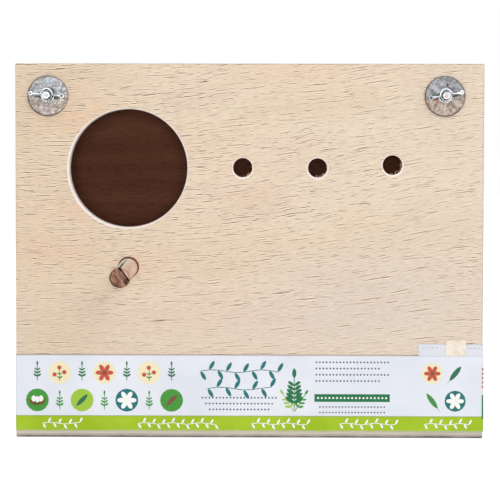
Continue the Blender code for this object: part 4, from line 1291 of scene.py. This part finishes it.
def band_rise(length):
    """The tail starts high, and the band comes level where it reaches the front again."""
    return TAIL_RISE * max(0.0, 1 - length / FRONT_LENGTH)


def band_place(length, height, out=0.0):
    """The point of the paper at a length along it and a height on it, out from its middle by out."""
    length = min(max(length, 0.0), BAND_TOTAL - 0.000001)
    index = next(i for i in range(len(BAND_LENGTHS) - 1) if BAND_LENGTHS[i + 1] >= length)
    share = (length - BAND_LENGTHS[index]) / (BAND_LENGTHS[index + 1] - BAND_LENGTHS[index])
    start, end = BAND_POINTS[index], BAND_POINTS[index + 1]
    direction = (end - start).normalized()
    away = Vector((direction.y, -direction.x))
    wave = 0.035 * math.sin(length * 95 + height * 60) + 0.02 * math.sin(length * 210 - height * 110)
    point = start.lerp(end, share) + away * (out + wave * MM)
    return Vector((*point, BAND_FOOT + band_rise(length) + height))


def make_band():
    """The paper, with slightly ragged long edges and a UV map in which a unit is its height."""
    columns, rows = len(BAND_POINTS) - 1, 12
    band = new_piece(bpy.ops.mesh.primitive_grid_add, x_subdivisions=columns, y_subdivisions=rows, size=1,
                     calc_uvs=True)
    draw = random.Random(5)
    for vertex in band.data.vertices:
        column = round((vertex.co.x + 0.5) * columns)
        row = round((vertex.co.y + 0.5) * rows)
        height = BAND_HEIGHT * row / rows
        if row in (0, rows):
            height -= math.copysign(draw.uniform(0, 0.06) * MM, row - 1)
        vertex.co = band_place(BAND_LENGTHS[column], height)
    uv_layer = band.data.uv_layers.active.data
    for loop in band.data.loops:
        uv_layer[loop.index].uv.x *= BAND_TOTAL / BAND_HEIGHT
    thicken(band, PAPER_THICKNESS)
    apply_all(band)
    settle(band, "printed_paper_band", PAPER, "box", "paper", "paper_band")
    smooth(band, 30)


# How far the tape reaches past its CAD place to the right and upwards, how far off the front board it lies,
# and its thickness
TAPE_RIGHT = 1.4 * MM
TAPE_UP = 0.3 * MM
TAPE_OFF = 0.52 * MM
TAPE_THICKNESS = 0.12 * MM


def make_tape():
    """A torn bit of crepe tape over the band's tail."""
    tape = new_piece(bpy.ops.mesh.primitive_grid_add, x_subdivisions=26, y_subdivisions=20, size=1)
    draw = random.Random(9)
    middle = face_middle(TAPE_LOW, TAPE_HIGH)
    width, height = TAPE_HIGH.x - TAPE_LOW.x, TAPE_HIGH.z - TAPE_LOW.z + 2 * TAPE_UP
    for vertex in tape.data.vertices:
        along, up = vertex.co.x, vertex.co.y
        if abs(along) > 0.499:
            along += math.copysign(draw.uniform(-0.035, 0.015), along)
        if abs(up) > 0.499:
            up += math.copysign(draw.uniform(-0.02, 0.0), up)
        crinkle = noise.noise(Vector((along * 9, up * 3, 2.5))) * 0.08 * MM
        crinkle += noise.noise(Vector((along * 24, up * 10, 7.5))) * 0.05 * MM
        vertex.co = middle + Vector((TAPE_RIGHT + along * width, -TAPE_OFF - crinkle, TAPE_UP + up * height))
    thicken(tape, TAPE_THICKNESS)
    apply_all(tape)
    settle(tape, "crepe_tape", TAPE, "box", "tape", "tape_piece")
    smooth(tape, 40)


make_band()
make_tape()


# The printed garden border: flat shapes modelled once, and copied along the paper. Every length and place
# here is in millimetres along and up the paper, and each ink lies a little above the one before it.
INKS = {
    "cream": (243, 232, 196),
    "lime": (158, 198, 58),
    "leaf_green": (62, 148, 52),
    "deep_green": (22, 112, 66),
    "teal": (20, 112, 116),
    "slate": (84, 86, 104),
    "clay": (196, 84, 62),
    "bark": (118, 82, 54),
    "white": (252, 252, 248),
}
INK_LIFT = 0.01 * MM
SHAPE_SIDES = {"dot": 16, "leaf": 12, "seed": 10}
LEAF_TAPER = 0.35


def flat_shape(kind):
    """A filled outline one unit long and wide: a round dot, a pointed leaf or a plain seed."""
    shape = new_piece(bpy.ops.mesh.primitive_circle_add, vertices=SHAPE_SIDES[kind], radius=0.5,
                      fill_type="TRIFAN")
    if kind == "leaf":
        for vertex in shape.data.vertices:
            vertex.co.y *= (abs(vertex.co.y) * 2) ** LEAF_TAPER
    shape.name = "flat_" + kind
    return shape


class Print:
    """What is printed: every shape with its ink, its size and its place."""

    def __init__(self):
        self.shapes = {kind: flat_shape(kind) for kind in SHAPE_SIDES}
        self.copies = {ink: [] for ink in INKS}

    def lay(self, shape, ink, along, up, length, width, turn=0.0):
        """Gives a shape its size, turn and place."""
        sized = Matrix.Diagonal((length, width, 1, 1))
        shape.data.transform(Matrix.Translation((along, up, 0)) @ Matrix.Rotation(turn, 4, "Z") @ sized)
        self.copies[ink].append(shape)

    def stamp(self, kind, ink, along, up, length, width=None, turn=0.0):
        """A copy of a shape, as wide as it is long if no width is given."""
        copy = bpy.data.objects.new(kind, self.shapes[kind].data.copy())
        bpy.context.scene.collection.objects.link(copy)
        self.lay(copy, ink, along, up, length, length if width is None else width, turn)

    def tile(self, ink, along, up, length, height):
        """A plain rectangle."""
        self.lay(new_piece(bpy.ops.mesh.primitive_plane_add, size=1), ink, along, up, length, height)

    def stem(self, ink, points, width):
        """A line of thin dots that overlap, through a row of points."""
        for start, end in zip(points, points[1:]):
            run = end - start
            self.stamp("dot", ink, *(start + end) / 2, run.length * 1.35, width, math.atan2(run.y, run.x))

    def finish(self):
        """Joins each ink's copies and lays them on the paper, the later inks over the earlier ones."""
        for layer, (ink, copies) in enumerate(self.copies.items()):
            piece = join_pieces(copies)
            lift = PAPER_THICKNESS / 2 + INK_LIFT * (layer + 2)
            for vertex in piece.data.vertices:
                vertex.co = band_place(vertex.co.x * MM, vertex.co.y * MM, lift)
            settle(piece, f"band_print_{ink}", printing_ink(f"{ink}_ink", paint(*INKS[ink])), "box", "paper")
        for shape in self.shapes.values():
            bpy.data.objects.remove(shape)


def towards(turn, distance):
    """The step to a point in a direction."""
    return Vector((math.cos(turn), math.sin(turn))) * distance


def sprig(art, ink, along, up, height, pairs, turn=0.0):
    """An upright stem with pairs of leaves and one leaf at its top."""
    spin = Matrix.Rotation(turn, 2)
    foot = Vector((along, up))
    upwards = turn + math.pi / 2
    art.stem(ink, [foot + spin @ Vector((0, height * step / 4)) for step in range(5)], 0.45)
    for pair in range(pairs):
        level = height * (0.22 + 0.62 * pair / pairs)
        size = height * 0.30 * (1 - 0.35 * pair / pairs)
        for side in (-1, 1):
            place = foot + spin @ Vector((side * size * 0.42, level + size * 0.30))
            art.stamp("leaf", ink, *place, size, size * 0.42, upwards - side * 0.95)
    crown = foot + spin @ Vector((0, height * 1.08))
    art.stamp("leaf", ink, *crown, height * 0.28, height * 0.12, upwards)


def flower(art, ink, along, up, size):
    """Six petals round a middle."""
    for petal in range(6):
        angle = math.pi / 3 * petal
        place = Vector((along, up)) + towards(angle, size * 0.3)
        art.stamp("seed", ink, *place, size * 0.46, size * 0.26, angle)


def eggs(art, along, up, size):
    """Three eggs on a bed of bark strokes."""
    for stroke in range(-3, 4):
        shift = stroke * 0.12 * size
        level = up - 0.22 * size + abs(shift) * 0.35
        art.stamp("seed", "bark", along + shift, level, size * 0.4, size * 0.11, stroke * 0.35)
    for shift in (-0.2, 0.2, 0.0):
        level = up + (0.04 + abs(shift) * 0.2) * size
        art.stamp("seed", "white", along + shift * size, level, size * 0.34, size * 0.25, math.pi / 2)


def berries(art, along, up, size):
    """A small sprig with three berries over it."""
    sprig(art, "leaf_green", along, up - size * 0.42, size * 0.6, 2)
    for x, y in ((-0.26, -0.1), (0.24, 0.02), (-0.02, 0.26)):
        art.stamp("dot", "clay", along + x * size, up + y * size, size * 0.22)


def feather(art, ink, along, up, size, turn):
    """A vane with its quill, pointing in the direction of turn."""
    art.stamp("leaf", ink, along, up, size, size * 0.28, turn)
    middle, tail = Vector((along, up)), towards(turn, size * 0.62)
    art.stem("slate", [middle - tail, middle + tail * 0.6], 0.22)


def medallion(art, number, along, up, size):
    """A round badge; its ground and its motif change from one to the next."""
    grounds = ("leaf_green", "cream", "lime", "cream", "teal", "cream")
    ground = grounds[number % len(grounds)]
    art.stamp("dot", ground, along, up, size)
    kind = number % 4
    if ground == "teal":
        flower(art, "white", along, up, size * 0.8)
        art.stamp("dot", "white", along, up, size * 0.16)
    elif kind == 0:
        eggs(art, along, up, size * 0.8)
    elif kind == 1:
        berries(art, along, up, size * 0.85)
    elif kind == 2:
        feather(art, "deep_green" if ground == "lime" else "bark", along, up, size * 0.7, 0.8)
    else:
        flower(art, "clay", along, up, size * 0.75)
        art.stamp("dot", "bark", along, up, size * 0.18)


def seed_row(art, ink, start, end, up, size):
    """Round seeds in an even row."""
    count = max(1, round((end - start) / (size * 1.9)))
    for step in range(count + 1):
        art.stamp("seed", ink, start + (end - start) * step / count, up, size)


def garland(art, ink, start, end, up, size):
    """A waving stem with leaves above and below it by turns."""
    count = max(2, round((end - start) / (size * 0.75)))
    points = [Vector((start + (end - start) * step / count, up + math.sin(step * 1.1) * size * 0.12))
              for step in range(count + 1)]
    art.stem(ink, points, 0.4)
    for step, point in enumerate(points):
        turn = 1.05 if step % 2 else -1.05
        art.stamp("leaf", ink, *point + towards(turn, size * 0.45), size * 0.85, size * 0.32, turn)


def ribbon(art, start, end, up, height):
    """A plain deep green ribbon with a row of white seeds."""
    count = max(2, round((end - start) / 3))
    length = (end - start) / count
    for step in range(count):
        art.tile("deep_green", start + length * (step + 0.5), up, length, height)
    seed_row(art, "white", start + 2, end - 2, up, 1.1)


def corner_marks(art, corner_start):
    """A green bar and clay dots that wrap round the front right corner."""
    marks = [("deep_green", 7.2, 13.0)]
    marks += [("clay", 24.0 + 2.4 * number, 1.3) for number in range(5)]
    for ink, foot, height in marks:
        for step in range(9):
            art.tile(ink, corner_start - 0.9 + 0.22 * step, foot + height / 2, 0.23, height)


# Where the border lies: the front's left end and its right corner, the corners, the badges' two rows and
# the middle of the lime strip. Round the sides and the back it starts at ROUND_START, clear of the tail, and
# its badges keep CORNER_CLEAR from the corners.
FRONT_START = FRONT_LENGTH / MM
FRONT_END = FRONT_START + 2 * HALF_WIDTH / MM
CORNERS = [length / MM for length in CORNER_LENGTHS]
LIME_TOP = LIME_TOP_SHARE * BAND_HEIGHT / MM
LOW_ROW, HIGH_ROW = LIME_TOP + 8.5, LIME_TOP + 23.5
LIME_MIDDLE = LIME_TOP / 2
ROUND_START = 104
CORNER_CLEAR = 7.5
VINE_LEAF = 3.6
ROUND_BADGE = 11


def print_front(art):
    """Badges and sprigs at the left, garlands, a tall sprig, a ribbon over dots, and two more badges."""
    for number in range(7):
        along = FRONT_START + 11 + 12.2 * number
        medallion(art, number, along, HIGH_ROW if number % 2 else LOW_ROW, 12.5)
        foot = LOW_ROW - 5 if number % 2 else HIGH_ROW - 4
        sprig(art, "leaf_green" if number % 2 else "deep_green", along, foot, 8.5, 3)
    garland(art, "teal", FRONT_START + 100, FRONT_START + 142, HIGH_ROW + 1, 6.5)
    garland(art, "teal", FRONT_START + 104, FRONT_START + 138, HIGH_ROW - 8.5, 6.5)
    for row in range(3):
        start, end = FRONT_START + 101 + 2 * row, FRONT_START + 141 - 2 * row
        seed_row(art, "slate", start, end, LOW_ROW + 1.5 - 3.2 * row, 1.0)
    for ink, shift, height, pairs, turn in (
        ("deep_green", 151, 19, 5, 0.0), ("leaf_green", 151.5, 11, 3, -0.55), ("lime", 150.5, 11, 3, 0.55)
    ):
        sprig(art, ink, FRONT_START + shift, LOW_ROW - 5.5, height, pairs, turn)
    ribbon(art, FRONT_START + 162, FRONT_START + 203, LOW_ROW + 1.5, 4.2)
    for row in range(4):
        end = FRONT_START + 202 - 5 * (row % 2)
        seed_row(art, "slate", FRONT_START + 163, end, HIGH_ROW + 6 - 3.4 * row, 1.0)
    for row in range(2):
        seed_row(art, "slate", FRONT_START + 165, FRONT_START + 200, LOW_ROW - 3.4 - 3 * row, 0.9)
    medallion(art, 3, FRONT_START + 226, HIGH_ROW, 11.5)
    medallion(art, 4, FRONT_START + 238.5, LOW_ROW, 11.5)
    feather(art, "deep_green", FRONT_START + 238.5, HIGH_ROW, 10, 0.9)
    feather(art, "leaf_green", FRONT_START + 226, LOW_ROW, 10, 2.2)


def print_round(art):
    """Badges, sprigs and dots by turns round the sides and the back, clear of the corners."""
    step = 13
    for along in range(ROUND_START, round(FRONT_START - 8), step):
        number = along // step
        if any(abs(along - edge) < CORNER_CLEAR for edge in CORNERS):
            continue
        if number % 3:
            medallion(art, number, along, HIGH_ROW if number % 2 else LOW_ROW, ROUND_BADGE)
            sprig(art, "leaf_green", along, (LOW_ROW if number % 2 else HIGH_ROW) - 5, 9, 3)
        else:
            for row in range(7):
                seed_row(art, "slate", along - 5, along + 5, LOW_ROW + 2.6 * row - 4, 0.95)


def print_vines(art):
    """White vines on the lime strip, clear of the corners."""
    for start, end in ((14, 34), (66, 108), (128, 158), (176, 206), (222, 246)):
        garland(art, "white", FRONT_START + start, FRONT_START + end, LIME_MIDDLE, VINE_LEAF)
    length = 26
    for start in range(ROUND_START, round(FRONT_START) - 30, 48):
        if all(not start - 2 < edge < start + length + 2 for edge in CORNERS):
            garland(art, "white", start, start + length, LIME_MIDDLE, VINE_LEAF)


def print_ends(art):
    """Dots on the tail, and the border on the lapped end from the corner on."""
    for start, end in ((3, 10), (27, 33)):
        for step in range(4):
            art.stamp("seed", "slate", start + (end - start) * step / 3, BAND_HEIGHT / MM - 2.2, 0.45)
    corner_marks(art, FRONT_END)
    medallion(art, 2, FRONT_END + 14, HIGH_ROW, ROUND_BADGE)
    sprig(art, "leaf_green", FRONT_END + 14, LOW_ROW - 5, 9, 3)
    medallion(art, 3, FRONT_END + 30, LOW_ROW, ROUND_BADGE)
    garland(art, "teal", FRONT_END + 24, FRONT_END + 50, HIGH_ROW, 6)
    garland(art, "white", FRONT_END + 8, FRONT_END + 44, LIME_MIDDLE, VINE_LEAF)


band_print = Print()
print_front(band_print)
print_round(band_print)
print_vines(band_print)
print_ends(band_print)
band_print.finish()


def set_stage():
    """A plain white floor that still takes the box's shadow."""
    floor = new_piece(bpy.ops.mesh.primitive_plane_add, size=16, location=(0, 0, FLOOR_LOW.z - 0.2 * MM))
    floor.name = "studio_floor"
    recipe = Recipe("studio_floor", roughness=0.9, specular=0.0)
    rays = recipe.add("ShaderNodeLightPath", {}).outputs
    seen = recipe.larger(rays["Is Camera Ray"], rays["Is Glossy Ray"])
    recipe.feed(recipe.shader.inputs["Emission Color"], (1, 1, 1, 1))
    recipe.feed(recipe.shader.inputs["Emission Strength"], seen * 0.55)
    cover(floor, recipe.finish((0.92, 0.92, 0.92, 1)))


def set_world():
    """A white background, which lights the box less brightly than it shows."""
    world = bpy.data.worlds.new("studio")
    bpy.context.scene.world = world
    world.use_nodes = True
    nodes, links = world.node_tree.nodes, world.node_tree.links
    background = nodes["Background"]
    background.inputs["Color"].default_value = (1, 1, 1, 1)
    rays = nodes.new("ShaderNodeLightPath").outputs
    shown = rays["Is Camera Ray"]
    for kind in ("Is Glossy Ray", "Is Transmission Ray"):
        either = nodes.new("ShaderNodeMath")
        either.operation = "MAXIMUM"
        links.new(shown, either.inputs[0])
        links.new(rays[kind], either.inputs[1])
        shown = either.outputs[0]
    strength = nodes.new("ShaderNodeMapRange")
    strength.inputs["To Min"].default_value = 0.52
    strength.inputs["To Max"].default_value = 1.0
    links.new(shown, strength.inputs["Value"])
    links.new(strength.outputs[0], background.inputs["Strength"])


def add_lamp(name, place, aim, size, power):
    """A round softbox that points at its aim."""
    data = bpy.data.lights.new(name, "AREA")
    data.shape = "DISK"
    data.size = size
    data.energy = power
    lamp = bpy.data.objects.new(name, data)
    bpy.context.scene.collection.objects.link(lamp)
    lamp.location = place
    lamp.rotation_euler = (Vector(aim) - Vector(place)).to_track_quat("-Z", "Y").to_euler()


def set_camera():
    """The camera in front of the box, placed as the photograph's was."""
    data = bpy.data.cameras.new("camera")
    data.lens = CAMERA_LENS
    data.sensor_width = 36
    data.clip_start = 0.05
    data.clip_end = 60
    camera = bpy.data.objects.new("camera", data)
    bpy.context.scene.collection.objects.link(camera)
    camera.location = (CAMERA_X, FRONT_FACE - CAMERA_DISTANCE, CAMERA_Z)
    pan = Matrix.Rotation(CAMERA_PAN, 3, "Z")
    tilt = Matrix.Rotation(math.pi / 2 - CAMERA_TILT, 3, "X")
    camera.rotation_euler = (pan @ tilt @ Matrix.Rotation(CAMERA_ROLL, 3, "Z")).to_euler()
    bpy.context.scene.camera = camera


set_camera()
set_stage()
set_world()
add_lamp("softbox_right", place=(0.9, -1.4, 1.2), aim=(0, 0, 0.1), size=1.1, power=8)
add_lamp("softbox_front", place=(0.012, -1.3, 0.155), aim=(0, 0, 0.14), size=0.12, power=4)
add_lamp("softbox_back", place=(-0.7, 1.7, 1.2), aim=(0, 0, 0.1), size=1.1, power=12)
bpy.context.scene.view_settings.view_transform = "Standard"
